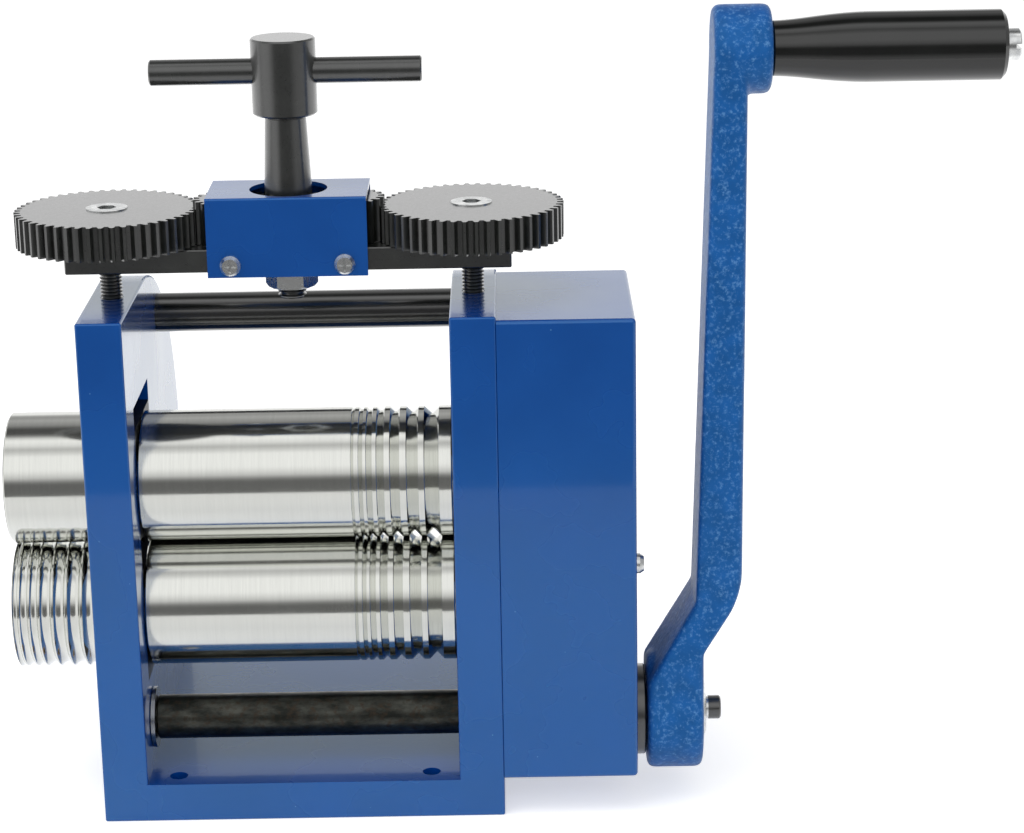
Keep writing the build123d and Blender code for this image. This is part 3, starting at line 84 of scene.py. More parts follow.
FLOOR_SIZE = 8.0
FLOOR_FRONT = -0.45     # the table ends here, so the fronts mirror a dark room above it
FLOOR_GLOW = 0.50       # lifts the table to white for the camera and keeps the shadow
STUDIO_BANDS = (        # what polished steel mirrors: degrees up from the front, over the top, to the back
    (-180, 0.6), (-30, 0.6), (-16, 0.16), (4, 0.14), (9, 0.24), (16, 0.68), (24, 0.92), (30, 1.05),
    (53, 1.05), (60, 0.76), (67, 0.55), (74, 0.90), (84, 1.10), (89, 0.85), (94, 0.30), (99, 0.08),
    (112, 0.08), (121, 0.30), (136, 0.46), (148, 0.34), (156, 0.50), (162, 1.0), (180, 1.0),
)
STUDIO_WINGS = ((-0.45, -0.75, 0.95), (0.45, 0.75, 0.5))    # sideways, by the direction's x: from, to, grey
GLOW_START, GLOW_END = -0.15, 0.05      # the mirrored table glows behind these, front to back
KEY_PLACE, KEY_SIZE = (-0.5, -0.35, 1.5), 1.3
FRONT_PLACE, FRONT_SIZE = (0.35, -1.9, 0.9), 1.6
LAMP_AIM = (0.02, 0.0, 0.12)

GRIND_LINE_MM = 0.5     # width of the wheel lines on ground steel
ROUND_STEPS = 96        # sides of a round solid

# crank casting: sizes from the hub, its face and its axis
SLAB_WIDTH, SLAB_HEIGHT, SLAB_UP = 39 * MM, 4 * MM, 2 * MM
FOOT_IN_UP, FOOT_OUT_UP, FOOT_HALF = 15.6 * MM, 27.0 * MM, 18.6 * MM
BEND_IN, BEND_OUT = 17.2 * MM, 33.6 * MM
BEND_IN_UP, BEND_OUT_UP, BEND_HALF = 45.5 * MM, 48.0 * MM, 16.2 * MM
BEND_ROUND = 8 * MM
TOP_THICK, TOP_HALF = 11.6 * MM, 14.2 * MM
BOSS_LENGTH = 20.0 * MM
SHAFT_BORE_R, BOLT_BORE_R = 7.1 * MM, 4.1 * MM
BOLT_BORE_DEPTH = 15 * MM
CUT_PAST = 5 * MM       # a cutter reaches this far past the face
NEAR = 0.1 * MM         # two places closer than this are the same


# ------------------------------------------------------------ colours and nodes
def linear(code):
    """sRGB hex colour as linear RGBA"""
    channels = [int(code[start:start + 2], 16) / 255 for start in (1, 3, 5)]
    return [c / 12.92 if c <= 0.04045 else ((c + 0.055) / 1.055) ** 2.4 for c in channels] + [1.0]


def add_node(tree, kind, inputs=None, **settings):
    """Add a node with its settings; an input is a socket to link or a constant"""
    node = tree.nodes.new(kind)
    for key, value in settings.items():
        setattr(node, key, value)
    for key, value in (inputs or {}).items():
        if isinstance(value, bpy.types.NodeSocket):
            tree.links.new(value, node.inputs[key])
        else:
            node.inputs[key].default_value = value
    return node


def new_material(name):
    """Empty material, its tree, its Principled shader and its Object coordinates"""
    material = bpy.data.materials.new(name)
    material.use_nodes = True
    tree = material.node_tree
    tree.nodes.clear()
    shader = add_node(tree, "ShaderNodeBsdfPrincipled")
    add_node(tree, "ShaderNodeOutputMaterial", {"Surface": shader.outputs[0]})
    place = add_node(tree, "ShaderNodeTexCoord").outputs["Object"]
    return material, tree, shader, place


def blend_colours(tree, amount, first, second):
    """Mix of two colours or colour sockets by a socket from 0 to 1"""
    mix = add_node(tree, "ShaderNodeMix", data_type="RGBA")
    for index, value in ((0, amount), (6, first), (7, second)):
        if isinstance(value, bpy.types.NodeSocket):
            tree.links.new(value, mix.inputs[index])
        else:
            mix.inputs[index].default_value = value
    return mix.outputs[2]


def spread(tree, value, low, high, to_low=0.0, to_high=1.0):
    """Stretch a value between two limits onto two others"""
    inputs = {"Value": value, "From Min": low, "From Max": high, "To Min": to_low, "To Max": to_high}
    return add_node(tree, "ShaderNodeMapRange", inputs).outputs[0]


def noise(tree, place, size_mm, detail=2.0, rough=0.5, stretch=(1, 1, 1)):
    """Noise whose blotches are about size_mm across, stretched along an axis where asked"""
    scaled = add_node(tree, "ShaderNodeMapping", {"Vector": place, "Scale": stretch}).outputs[0]
    inputs = {"Vector": scaled, "Scale": 1 / (size_mm * MM), "Detail": detail, "Roughness": rough}
    return add_node(tree, "ShaderNodeTexNoise", inputs).outputs["Fac"]


def relief(tree, height, depth_mm, strength=1.0, normal=None):
    """Bump of a height from 0 to 1 over a depth in millimetres"""
    inputs = {"Height": height, "Distance": depth_mm * MM, "Strength": strength}
    if normal is not None:
        inputs["Normal"] = normal
    return add_node(tree, "ShaderNodeBump", inputs).outputs[0]


def flecks(tree, place, spacing_mm, radius_mm):
    """1 inside small round specks scattered about spacing_mm apart, else 0"""
    cells = add_node(tree, "ShaderNodeTexVoronoi", {"Vector": place, "Scale": 1 / (spacing_mm * MM)})
    edge = radius_mm / spacing_mm
    return spread(tree, cells.outputs["Distance"], edge, edge * 0.6)


def finish(nodes, material):
    """Give CAD nodes their material"""
    for name in nodes:
        slots = NODES[name].data.materials
        slots.clear()
        slots.append(material)


# ------------------------------------------------------------ finishes
def sprayed_enamel(colour):
    """Gloss blue machine enamel sprayed on steel: deep wet blue, fine orange peel, and bumped dust nibs
    whose paler colour is a painted sparkle highlight
    """
    material, tree, shader, place = new_material("sprayed blue enamel")
    base = linear(colour)
    shade = [channel * 0.9 for channel in base[:3]] + [1.0]
    # pale specks: real dust nibs in the bump, but their paler colour is a painted sparkle highlight
    painted_sparkle_colour = linear("#5f8fc4")
    cloud = spread(tree, noise(tree, place, 38, 3), 0.35, 0.65)
    nibs_and_sparkle = flecks(tree, place, 7.5, 0.26)
    body = blend_colours(tree, cloud, shade, base)
    tree.links.new(blend_colours(tree, nibs_and_sparkle, body, painted_sparkle_colour), shader.inputs["Base Color"])
    peel = relief(tree, noise(tree, place, 1.9, 2), 0.02)
    tree.links.new(relief(tree, nibs_and_sparkle, 0.05, 0.6, peel), shader.inputs["Normal"])
    tree.links.new(spread(tree, cloud, 0, 1, 0.24, 0.30), shader.inputs["Roughness"])
    wet_coat(shader, 1.8, 0.75, 0.05)
    return material


def hammered_enamel(colour):
    """Hammer-finish blue enamel on a casting: dimpled, half-gloss film, mottled, with the flake's glints
    painted in as paler specks
    """
    material, tree, shader, place = new_material("hammered blue enamel")
    base = linear(colour)
    shade = [channel * 0.75 for channel in base[:3]] + [1.0]
    # paler specks: painted glints standing in for the sparkle of the flake
    painted_glint_colour = linear("#74a6da")
    cloud = spread(tree, noise(tree, place, 6, 3), 0.3, 0.7)
    dimple = noise(tree, place, 2.0, 3, 0.6)
    glint = spread(tree, noise(tree, place, 1.5, 4, 0.7), 0.52, 0.72, 0.0, 0.6)
    body = blend_colours(tree, cloud, shade, base)
    tree.links.new(blend_colours(tree, glint, body, painted_glint_colour), shader.inputs["Base Color"])
    tree.links.new(relief(tree, dimple, 0.22), shader.inputs["Normal"])
    tree.links.new(spread(tree, dimple, 0.3, 0.7, 0.38, 0.52), shader.inputs["Roughness"])
    wet_coat(shader, 1.5, 0.12, 0.3)
    return material


def wet_coat(shader, ior, weight, roughness):
    """Clear gloss over a pigmented film, whose own reflection is bluish"""
    shader.inputs["IOR"].default_value = ior
    shader.inputs["Specular Tint"].default_value = linear("#7ce6ff")
    shader.inputs["Coat Weight"].default_value = weight
    shader.inputs["Coat Roughness"].default_value = roughness


def ground_steel(name, colour, roughness, end_black=False):
    """Cylindrically ground roll steel: near mirror, with fine wheel lines round the axis"""
    material, tree, shader, place = new_material(name)
    bright = linear(colour)
    dull = [channel * 0.93 for channel in bright[:3]] + [1.0]
    rings = noise(tree, place, GRIND_LINE_MM, 3, 0.7, (1.0, 0.02, 0.02))
    haze = spread(tree, noise(tree, place, 9, 2, 0.5, (0.6, 1, 1)), 0.35, 0.7)
    body = blend_colours(tree, spread(tree, rings, 0.3, 0.7), dull, bright)
    if end_black:
        across = add_node(tree, "ShaderNodeSeparateXYZ", {"Vector": place}).outputs[0]
        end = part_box("upper_side_roller")[0].x
        face = spread(tree, across, end + 0.3 * MM, end + 0.1 * MM)
        body = blend_colours(tree, face, body, linear("#1c1d1f"))
    tree.links.new(body, shader.inputs["Base Color"])
    tree.links.new(spread(tree, haze, 0, 1, roughness * 0.85, roughness * 1.2), shader.inputs["Roughness"])
    tree.links.new(relief(tree, rings, 0.002), shader.inputs["Normal"])
    shader.inputs["Metallic"].default_value = 1.0
    return material


def black_oxide(name, colour, worn, roughness):
    """Hot black oxide on machined steel: a magnetite film, so dark but with a strong satin sheen"""
    material, tree, shader, place = new_material(name)
    mottled = spread(tree, noise(tree, place, 7, 3, 0.5), 0.45, 0.8)
    grain = noise(tree, place, 0.9, 3, 0.6)
    body = blend_colours(tree, mottled, linear(colour), linear(worn))
    tree.links.new(body, shader.inputs["Base Color"])
    gloss = spread(tree, grain, 0.3, 0.7, roughness - 0.03, roughness + 0.04)
    tree.links.new(gloss, shader.inputs["Roughness"])
    tree.links.new(relief(tree, grain, 0.008), shader.inputs["Normal"])
    shader.inputs["IOR"].default_value = 1.8
    shader.inputs["Coat Weight"].default_value = 1.0
    shader.inputs["Coat Roughness"].default_value = 0.15
    return material


def oiled_bar():
    """Hot-rolled shaft steel under old oil: dark, with brown and black blotches along the bar"""
    material, tree, shader, place = new_material("oiled hot-rolled steel")
    blotch = spread(tree, noise(tree, place, 5, 4, 0.65, (0.45, 1, 1)), 0.38, 0.66)
    rust = spread(tree, noise(tree, place, 2.4, 3, 0.6), 0.5, 0.72)
    body = blend_colours(tree, blotch, linear("#262825"), linear("#4a4b46"))
    body = blend_colours(tree, rust, body, linear("#3c332a"))
    tree.links.new(body, shader.inputs["Base Color"])
    tree.links.new(spread(tree, blotch, 0, 1, 0.42, 0.28), shader.inputs["Roughness"])
    tree.links.new(relief(tree, blotch, 0.03), shader.inputs["Normal"])
    shader.inputs["Metallic"].default_value = 0.9
    return material


def zinc_plate():
    """Bright zinc plating: pale blue-white metal, slightly cloudy"""
    material, tree, shader, place = new_material("bright zinc plate")
    cloud = spread(tree, noise(tree, place, 2.2, 3), 0.35, 0.7)
    body = blend_colours(tree, cloud, linear("#cfd1d2"), linear("#f2f3f2"))
    tree.links.new(body, shader.inputs["Base Color"])
    tree.links.new(spread(tree, cloud, 0, 1, 0.30, 0.2), shader.inputs["Roughness"])
    tree.links.new(relief(tree, noise(tree, place, 0.6, 2), 0.008), shader.inputs["Normal"])
    shader.inputs["Metallic"].default_value = 1.0
    return material


def bearing_bronze():
    """Machined tin bronze: warm, with fine milling lines and a film of oil"""
    material, tree, shader, place = new_material("machined bronze")
    lines = noise(tree, place, 0.5, 3, 0.6, (1, 1, 0.05))
    stain = spread(tree, noise(tree, place, 7, 3), 0.4, 0.7)
    body = blend_colours(tree, stain, linear("#b08a4e"), linear("#7d5f35"))
    tree.links.new(body, shader.inputs["Base Color"])
    tree.links.new(spread(tree, lines, 0.3, 0.7, 0.28, 0.4), shader.inputs["Roughness"])
    tree.links.new(relief(tree, lines, 0.01), shader.inputs["Normal"])
    shader.inputs["Metallic"].default_value = 1.0
    return material


def block_iron():
    """Milled grey cast iron under oil: dark grey, with fine cutter lines"""
    material, tree, shader, place = new_material("milled cast iron")
    lines = noise(tree, place, 0.6, 3, 0.6, (1, 1, 0.05))
    stain = spread(tree, noise(tree, place, 7, 3), 0.4, 0.7)
    body = blend_colours(tree, stain, linear("#2a2a2b"), linear("#3d3d3e"))
    tree.links.new(body, shader.inputs["Base Color"])
    tree.links.new(spread(tree, lines, 0.3, 0.7, 0.35, 0.5), shader.inputs["Roughness"])
    tree.links.new(relief(tree, lines, 0.01), shader.inputs["Normal"])
    shader.inputs["Metallic"].default_value = 1.0
    return material


def spring_wire():
    """Oil-tempered spring steel: dark grey with a fine drawn grain"""
    material, tree, shader, place = new_material("oil-tempered spring steel")
    grain = noise(tree, place, 0.8, 3, 0.6)
    body = blend_colours(tree, spread(tree, grain, 0.3, 0.7), linear("#3c3d40"), linear("#66686c"))
    tree.links.new(body, shader.inputs["Base Color"])
    tree.links.new(spread(tree, grain, 0.3, 0.7, 0.28, 0.4), shader.inputs["Roughness"])
    shader.inputs["Metallic"].default_value = 1.0
    return material


def moulded_phenolic():
    """Black phenolic moulding, buffed: deep black, soft gloss, faint mould waviness"""
    material, tree, shader, place = new_material("moulded black phenolic")
    cloud = spread(tree, noise(tree, place, 12, 3), 0.35, 0.7)
    body = blend_colours(tree, cloud, linear("#0a0b0a"), linear("#101110"))
    tree.links.new(body, shader.inputs["Base Color"])
    tree.links.new(spread(tree, cloud, 0, 1, 0.07, 0.12), shader.inputs["Roughness"])
    tree.links.new(relief(tree, noise(tree, place, 9, 2), 0.03), shader.inputs["Normal"])
    shader.inputs["IOR"].default_value = 1.7
    return material


# ------------------------------------------------------------ settings
class MillPaintSettings(bpy.types.PropertyGroup):
    """Colours of the painted pieces"""

    plate_colour: bpy.props.StringProperty(
        name="Plate enamel", description="sRGB hex colour of the frame, case and cover", default="#02439a")
    crank_colour: bpy.props.StringProperty(
        name="Crank enamel", description="sRGB hex colour of the hammered crank", default="#1a5aa6")


class MillMetalSettings(bpy.types.PropertyGroup):
    """Colours and gloss of the bare and blackened metal"""

    roll_colour: bpy.props.StringProperty(
        name="Roll steel", description="sRGB hex colour of the ground rollers", default="#e4e5e0")
    roll_roughness: bpy.props.FloatProperty(
        name="Roll roughness", description="Surface roughness of the ground rollers", default=0.12,
        min=0.02, max=1.0, subtype="FACTOR")
    black_colour: bpy.props.StringProperty(
        name="Black oxide", description="sRGB hex colour of the blackened steel", default="#161816")
    worn_colour: bpy.props.StringProperty(
        name="Worn oxide", description="sRGB hex colour of its lighter patches", default="#232523")


class MillCrankSettings(bpy.types.PropertyGroup):
    """Sizes of the crank casting that the CAD node's box does not give"""

    edge_radius: bpy.props.FloatProperty(
        name="Edge radius", description="Rounding of the casting's edges", default=2.4 * MM,
        min=0.5 * MM, max=5 * MM, unit="LENGTH")
    voxel: bpy.props.FloatProperty(
        name="Skin cell", description="Cell size of the casting's skin", default=0.9 * MM,
        min=0.5 * MM, max=3 * MM, unit="LENGTH")


class MillStageSettings(bpy.types.PropertyGroup):
    """Camera, lights and floor"""

    camera_place: bpy.props.FloatVectorProperty(
        name="Camera place", description="Where the camera stands", default=(0.07799, -0.98521, 0.42149),
        subtype="TRANSLATION", unit="LENGTH")
    camera_pitch: bpy.props.FloatProperty(
        name="Camera pitch", description="Angle down from level", default=math.radians(16.6036),
        unit="ROTATION")
    camera_yaw: bpy.props.FloatProperty(
        name="Camera yaw", description="Angle towards +X from straight ahead",
        default=math.radians(-0.0822), unit="ROTATION")
    camera_roll: bpy.props.FloatProperty(
        name="Camera roll", description="Tilt of the camera about its own axis",
        default=math.radians(-1.0175), unit="ROTATION")
    lens: bpy.props.FloatProperty(
        name="Lens", description="Focal length on a 36 mm wide sensor", default=97.535, unit="CAMERA")
    key_power: bpy.props.FloatProperty(
        name="Key light", description="Power of the large light above", default=9.0, unit="POWER")
    fill_power: bpy.props.FloatProperty(
        name="Front light", description="Power of the soft light in front", default=9.5, unit="POWER")
    sky_level: bpy.props.FloatProperty(
        name="Ambient", description="Level of the plain light from all round", default=0.55, min=0.0)


# ------------------------------------------------------------ modelling helpers
def start_mesh(name, add, **options):
    """Add a primitive with nothing else selected and leave it in edit mode"""
    bpy.ops.object.select_all(action="DESELECT")
    add(**options)
    piece = bpy.context.object
    piece.name = name
    bpy.ops.object.mode_set(mode="EDIT")
    return piece


def pick_faces(piece, chosen):
    """Select in edit mode the faces whose centre and normal pass a test"""
    bpy.ops.mesh.select_mode(type="FACE")
    bpy.ops.mesh.select_all(action="DESELECT")
    bpy.ops.object.mode_set(mode="OBJECT")
    for face in piece.data.polygons:
        face.select = chosen(face.center, face.normal)
    bpy.ops.object.mode_set(mode="EDIT")


def settle(piece):
    """Leave edit mode and put the piece's place into its mesh"""
    bpy.ops.object.mode_set(mode="OBJECT")
    bpy.ops.object.select_all(action="DESELECT")
    piece.select_set(True)
    bpy.context.view_layer.objects.active = piece
    bpy.ops.object.transform_apply(location=True, rotation=True, scale=True)


def modify(piece, kind, **settings):
    """Add a modifier and apply it"""
    bpy.context.view_layer.objects.active = piece
    modifier = piece.modifiers.new(kind.title(), kind)
    for key, value in settings.items():
        setattr(modifier, key, value)
    bpy.ops.object.modifier_apply(modifier=modifier.name)


def join_solid(piece, other, operation="UNION"):
    """Join another closed mesh to a piece, or cut it away"""
    modify(piece, "BOOLEAN", object=other, operation=operation, solver="EXACT")
    bpy.data.objects.remove(other, do_unlink=True)


def disc_x(name, x0, x1, y, z, radius, edge=0.0):
    """Round solid along X with rounded rims"""
    piece = start_mesh(
        name, bpy.ops.mesh.primitive_cylinder_add, vertices=ROUND_STEPS, radius=radius, depth=x1 - x0,
        location=((x0 + x1) / 2, y, z), rotation=(0, math.pi / 2, 0))
    settle(piece)
    if edge:
        modify(piece, "BEVEL", width=edge, segments=4, limit_method="ANGLE", angle_limit=math.radians(60))
    return piece


# ------------------------------------------------------------ operators
class MILL_OT_frame_finish(bpy.types.Operator):
    """Paint the base, side plates, gear case and pinion cover"""

    bl_idname = "mill.frame_finish"
    bl_label = "Painted frame"

    def execute(self, context):
        paint = context.scene.mill_paint
        finish(PAINTED_PLATES, sprayed_enamel(paint.plate_colour))
        return {"FINISHED"}


class MILL_OT_roller_finish(bpy.types.Operator):
    """Grind the rollers, side rollers and small ground pieces"""

    bl_idname = "mill.roller_finish"
    bl_label = "Rollers"

    def execute(self, context):
        metal = context.scene.mill_metal
        rough = metal.roll_roughness
        finish(ROLLERS, ground_steel("ground roll steel", metal.roll_colour, rough))
        side = ground_steel("ground roll steel, blackened end", metal.roll_colour, rough, end_black=True)
        finish(SIDE_ROLLERS, side)
        finish(GROUND_SMALL, ground_steel("bright drawn steel", "#a6a8aa", 0.28))
        return {"FINISHED"}


class MILL_OT_black_finish(bpy.types.Operator):
    """Blacken the screw-down gear, tee handle, tie bar, screws and case gears, and oil the shaft"""

    bl_idname = "mill.black_finish"
    bl_label = "Blackened steel"

    def execute(self, context):
        metal = context.scene.mill_metal
        satin = black_oxide("black oxide steel", metal.black_colour, metal.worn_colour, 0.30)
        finish(BLACK_OXIDE, satin)
        finish(("upper_tie_bar",), black_oxide("black oxide drawn bar", "#0e100e", "#161816", 0.20))
        finish(CASE_GEARS, black_oxide("oiled gear steel", "#3a3835", "#55524c", 0.30))
        finish(("drive_shaft",), oiled_bar())
        return {"FINISHED"}


class MILL_OT_hardware_finish(bpy.types.Operator):
    """Plate the screws, washers and nut, and finish the blocks, bushes and springs"""

    bl_idname = "mill.hardware_finish"
    bl_label = "Hardware and bearings"

    def execute(self, context):
        finish(BRIGHT_ZINC, zinc_plate())
        finish(BUSHES, bearing_bronze())
        finish(BLOCKS, block_iron())
        finish(SPRING_STEEL, spring_wire())
        return {"FINISHED"}


class MILL_OT_grip_finish(bpy.types.Operator):
    """Finish the crank's moulded grip"""

    bl_idname = "mill.grip_finish"
    bl_label = "Grip"

    def execute(self, context):
        finish(("handle_grip",), moulded_phenolic())
        return {"FINISHED"}


class MILL_OT_crank_casting(bpy.types.Operator):
    """Model the crank as one soft-edged casting and paint it"""

    bl_idname = "mill.crank_casting"
    bl_label = "Crank casting"

    def execute(self, context):
        sizes = context.scene.mill_crank
        low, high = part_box("crank_arm")
        hub_y = (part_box("crank_washer")[0].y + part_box("crank_washer")[1].y) / 2
        hub_z = (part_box("crank_washer")[0].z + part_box("crank_washer")[1].z) / 2
        grip_z = (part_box("handle_grip")[0].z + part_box("handle_grip")[1].z) / 2
        hub_x0, hub_x1 = low.x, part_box("crank_washer")[0].x
        hub_r = (high.y - low.y) / 2
        boss_x1 = high.x
        boss_r = high.z - grip_z
        boss_x0 = boss_x1 - BOSS_LENGTH
        bend_in, bend_out = hub_x0 + BEND_IN, hub_x0 + BEND_OUT
        stations = (
            (hub_x0, hub_z + FOOT_IN_UP, hub_x1, hub_z + FOOT_OUT_UP, FOOT_HALF),
            (bend_in, hub_z + BEND_IN_UP, bend_out, hub_z + BEND_OUT_UP, BEND_HALF),
            (boss_x0, grip_z, boss_x0 + TOP_THICK, grip_z, TOP_HALF),
        )
        arm = start_mesh(
            "crank_casting", bpy.ops.mesh.primitive_cube_add, size=1,
            location=((hub_x0 + hub_x1) / 2, hub_y, hub_z + SLAB_UP),
            scale=(hub_x1 - hub_x0, SLAB_WIDTH, SLAB_HEIGHT))
        settle(arm)
        bpy.ops.object.mode_set(mode="EDIT")
        pick_faces(arm, lambda centre, normal: normal.z > 0.9)
        for x_in, z_in, x_out, z_out, half in stations:
            bpy.ops.mesh.extrude_region_move()
            bpy.ops.object.mode_set(mode="OBJECT")
            top = [vertex for vertex in arm.data.vertices if vertex.select]
            middle = sum((vertex.co.x for vertex in top)) / len(top)
            for vertex in top:
                inside = vertex.co.x < middle
                side = 1 if vertex.co.y > hub_y else -1
                vertex.co = (x_in if inside else x_out, hub_y + side * half, z_in if inside else z_out)
            bpy.ops.object.mode_set(mode="EDIT")
        bpy.ops.mesh.select_all(action="SELECT")
        bpy.ops.mesh.normals_make_consistent(inside=False)
        settle(arm)
        outer_bend = [
            edge for edge in arm.data.edges
            if all(abs(arm.data.vertices[index].co.z - stations[1][3]) < NEAR
                   and arm.data.vertices[index].co.x > bend_out - NEAR for index in edge.vertices)]
        weights = arm.data.attributes.new("bevel_weight_edge", "FLOAT", "EDGE")
        for edge in outer_bend:
            weights.data[edge.index].value = 1.0
        modify(arm, "BEVEL", width=BEND_ROUND, segments=6, limit_method="WEIGHT")
        modify(arm, "BEVEL", width=sizes.edge_radius, segments=3, limit_method="ANGLE",
               angle_limit=math.radians(40))
        hub = disc_x("hub", hub_x0, hub_x1, hub_y, hub_z, hub_r, sizes.edge_radius)
        boss = disc_x("boss", boss_x0, boss_x1, hub_y, grip_z, boss_r, sizes.edge_radius)
        join_solid(arm, hub)
        join_solid(arm, boss)
        modify(arm, "REMESH", mode="VOXEL", voxel_size=sizes.voxel)
        modify(arm, "SMOOTH", factor=0.5, iterations=6)
        shaft = disc_x("shaft_bore", hub_x0 - CUT_PAST, hub_x1 + CUT_PAST, hub_y, hub_z, SHAFT_BORE_R)
        join_solid(arm, shaft, "DIFFERENCE")
        bolt = disc_x("bolt_bore", boss_x1 - BOLT_BORE_DEPTH, boss_x1 + CUT_PAST, hub_y, grip_z, BOLT_BORE_R)
        join_solid(arm, bolt, "DIFFERENCE")
        bpy.ops.object.select_all(action="DESELECT")
        arm.select_set(True)
        context.view_layer.objects.active = arm
        bpy.ops.object.shade_smooth_by_angle(angle=math.radians(50))
        arm.data.materials.clear()
        arm.data.materials.append(hammered_enamel(context.scene.mill_paint.crank_colour))
        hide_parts("crank_arm")
        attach(arm, "crank")
        return {"FINISHED"}


class MILL_OT_stage(bpy.types.Operator):
    """Set the floor, the soft studio light, the world and the camera"""

    bl_idname = "mill.stage"
    bl_label = "Stage"

    def execute(self, context):
        stage = context.scene.mill_stage
        self.floor()
        self.world(stage.sky_level)
        self.lamp("key light", KEY_PLACE, KEY_SIZE, stage.key_power)
        self.lamp("front light", FRONT_PLACE, FRONT_SIZE, stage.fill_power)
        self.camera(stage)
        context.scene.view_settings.view_transform = "Standard"
        return {"FINISHED"}

    def floor(self):
        bpy.ops.object.select_all(action="DESELECT")
        bpy.ops.mesh.primitive_plane_add(size=FLOOR_SIZE, location=(0, FLOOR_FRONT + FLOOR_SIZE / 2, 0))
        floor = bpy.context.object
        floor.name = "floor"
        bpy.ops.object.transform_apply(location=True)
        material, tree, shader, place = new_material("pale studio floor")
        tone = spread(tree, noise(tree, place, 400, 2), 0.3, 0.7)
        body = blend_colours(tree, tone, linear("#f4f4f4"), linear("#ffffff"))
        tree.links.new(body, shader.inputs["Base Color"])
        shader.inputs["Roughness"].default_value = 0.9
        shader.inputs["Specular IOR Level"].default_value = 0.0
        ray = add_node(tree, "ShaderNodeLightPath")
        depth = add_node(tree, "ShaderNodeSeparateXYZ", {"Vector": place}).outputs[1]
        behind = spread(tree, depth, GLOW_START, GLOW_END)
        through = add_node(tree, "ShaderNodeMath", {0: ray.outputs["Is Glossy Ray"],
                           1: ray.outputs["Is Transmission Ray"]}, operation="MAXIMUM")
        mirrored = add_node(tree, "ShaderNodeMath", {0: through.outputs[0], 1: behind}, operation="MULTIPLY")
        seen = add_node(tree, "ShaderNodeMath", {0: ray.outputs["Is Camera Ray"], 1: mirrored.outputs[0]},
                        operation="MAXIMUM")
        glow = add_node(tree, "ShaderNodeMath", {0: seen.outputs[0], 1: FLOOR_GLOW}, operation="MULTIPLY")
        shader.inputs["Emission Color"].default_value = linear("#ffffff")
        tree.links.new(glow.outputs[0], shader.inputs["Emission Strength"])
        floor.data.materials.append(material)

    def world(self, level):
        world = bpy.data.worlds.new("studio")
        bpy.context.scene.world = world
        world.use_nodes = True
        tree = world.node_tree
        tree.nodes.clear()
        ray = add_node(tree, "ShaderNodeLightPath")
        way = add_node(tree, "ShaderNodeTexCoord").outputs["Generated"]
        parts = add_node(tree, "ShaderNodeSeparateXYZ", {"Vector": way})
        ahead = add_node(tree, "ShaderNodeMath", {0: parts.outputs[1], 1: -1.0}, operation="MULTIPLY")
        angle = add_node(tree, "ShaderNodeMath", {0: parts.outputs[2], 1: ahead.outputs[0]},
                         operation="ARCTAN2")
        turn = spread(tree, angle.outputs[0], -math.pi, math.pi)
        ramp = add_node(tree, "ShaderNodeValToRGB", {"Fac": turn})
        points = ramp.color_ramp.elements
        while len(points) < len(STUDIO_BANDS):
            points.new(0.5)
        for point, (degrees, grey) in zip(points, STUDIO_BANDS):
            point.position = (degrees + 180) / 360
            point.color = (grey, grey, grey, 1.0)
        around = ramp.outputs[0]
        for start, end, grey in STUDIO_WINGS:
            wing = spread(tree, parts.outputs[0], start, end)
            around = blend_colours(tree, wing, around, (grey, grey, grey, 1.0))
        glossy = add_node(tree, "ShaderNodeBackground", {"Color": around, "Strength": 1.0})
        plain = add_node(tree, "ShaderNodeBackground", {"Color": linear("#ffffff"), "Strength": level})
        white = add_node(tree, "ShaderNodeBackground", {"Color": linear("#ffffff"), "Strength": 1.0})
        lit = add_node(tree, "ShaderNodeMixShader",
                       {0: ray.outputs["Is Glossy Ray"], 1: plain.outputs[0], 2: glossy.outputs[0]})
        seen = add_node(tree, "ShaderNodeMixShader",
                        {0: ray.outputs["Is Camera Ray"], 1: lit.outputs[0], 2: white.outputs[0]})
        add_node(tree, "ShaderNodeOutputWorld", {"Surface": seen.outputs[0]})

    def lamp(self, name, place, size, power):
        bpy.ops.object.light_add(type="AREA", location=place)
        lamp = bpy.context.object
        lamp.name = name
        lamp.data.size = size
        lamp.data.energy = power
        lamp.visible_glossy = False
        aim = Vector(LAMP_AIM) - Vector(place)
        lamp.rotation_euler = aim.to_track_quat("-Z", "Y").to_euler()

    def camera(self, stage):
        bpy.ops.object.camera_add(location=stage.camera_place)
        camera = bpy.context.object
        turn = Matrix.Rotation(-stage.camera_yaw, 4, "Z")
        tip = Matrix.Rotation(math.pi / 2 - stage.camera_pitch, 4, "X")
        tilt = Matrix.Rotation(stage.camera_roll, 4, "Z")
        camera.matrix_world = Matrix.Translation(stage.camera_place) @ turn @ tip @ tilt
        camera.data.sensor_fit = "HORIZONTAL"
        camera.data.sensor_width = 36.0
        camera.data.lens = stage.lens
        camera.data.clip_end = 20.0
        bpy.context.scene.camera = camera


class MILL_PT_panel(bpy.types.Panel):
    """Buttons and settings of the rolling mill"""

    bl_label = "Rolling Mill"
    bl_idname = "MILL_PT_panel"
    bl_space_type = "VIEW_3D"
    bl_region_type = "UI"
    bl_category = "Rolling Mill"

    def draw(self, context):
        for step in STEPS:
            self.layout.operator(step.bl_idname)
        for group in SETTINGS:
            settings = getattr(context.scene, group)
            for key in settings.__annotations__:
                self.layout.prop(settings, key)


SETTINGS = {
    "mill_paint": MillPaintSettings,
    "mill_metal": MillMetalSettings,
    "mill_crank": MillCrankSettings,
    "mill_stage": MillStageSettings,
}
STEPS = (
    MILL_OT_frame_finish, MILL_OT_roller_finish, MILL_OT_black_finish, MILL_OT_hardware_finish,
    MILL_OT_grip_finish, MILL_OT_crank_casting, MILL_OT_stage,
)


def register():
    """Register the settings, operators and panel"""
    for key, group in SETTINGS.items():
        bpy.utils.register_class(group)
        setattr(bpy.types.Scene, key, bpy.props.PointerProperty(type=group))
    for item in STEPS + (MILL_PT_panel,):
        bpy.utils.register_class(item)


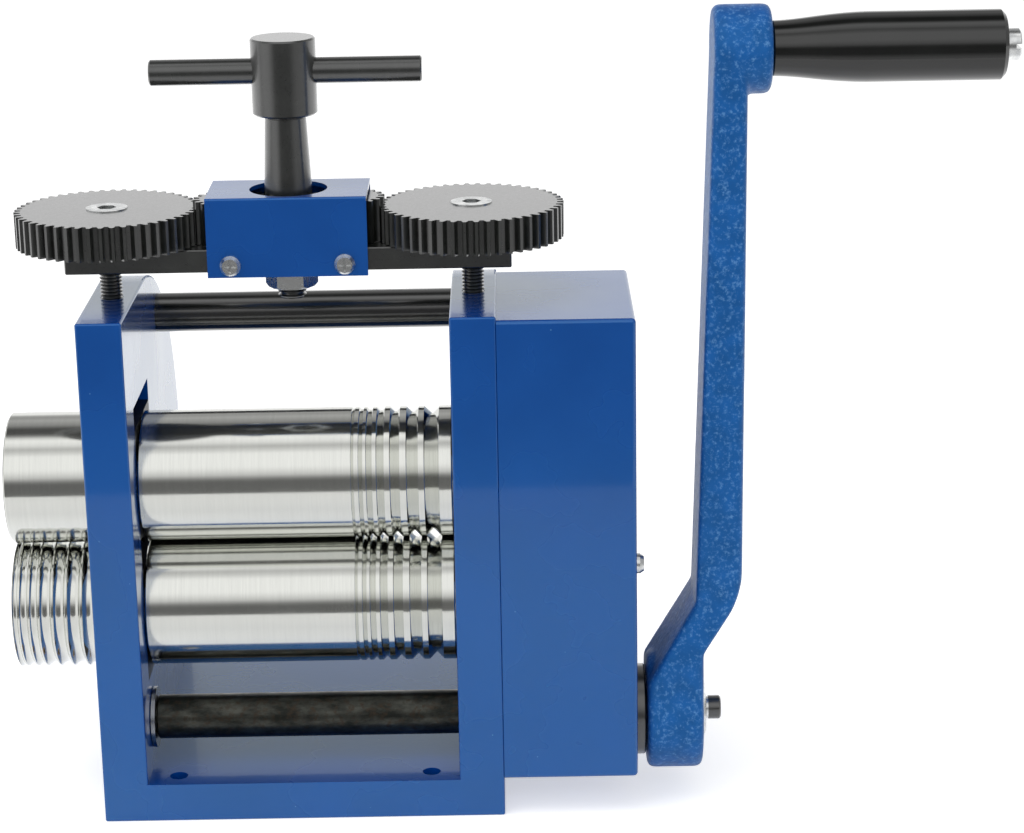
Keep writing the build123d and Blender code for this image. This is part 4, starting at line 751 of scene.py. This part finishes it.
def unregister():
    """Take everything that register added away again"""
    for item in reversed(STEPS + (MILL_PT_panel,)):
        bpy.utils.unregister_class(item)
    for key, group in reversed(SETTINGS.items()):
        delattr(bpy.types.Scene, key)
        bpy.utils.unregister_class(group)


def main():
    """Run every step in order"""
    register()
    bpy.ops.mill.frame_finish()
    bpy.ops.mill.roller_finish()
    bpy.ops.mill.black_finish()
    bpy.ops.mill.hardware_finish()
    bpy.ops.mill.grip_finish()
    bpy.ops.mill.crank_casting()
    bpy.ops.mill.stage()


if __name__ == "__main__":
    main()
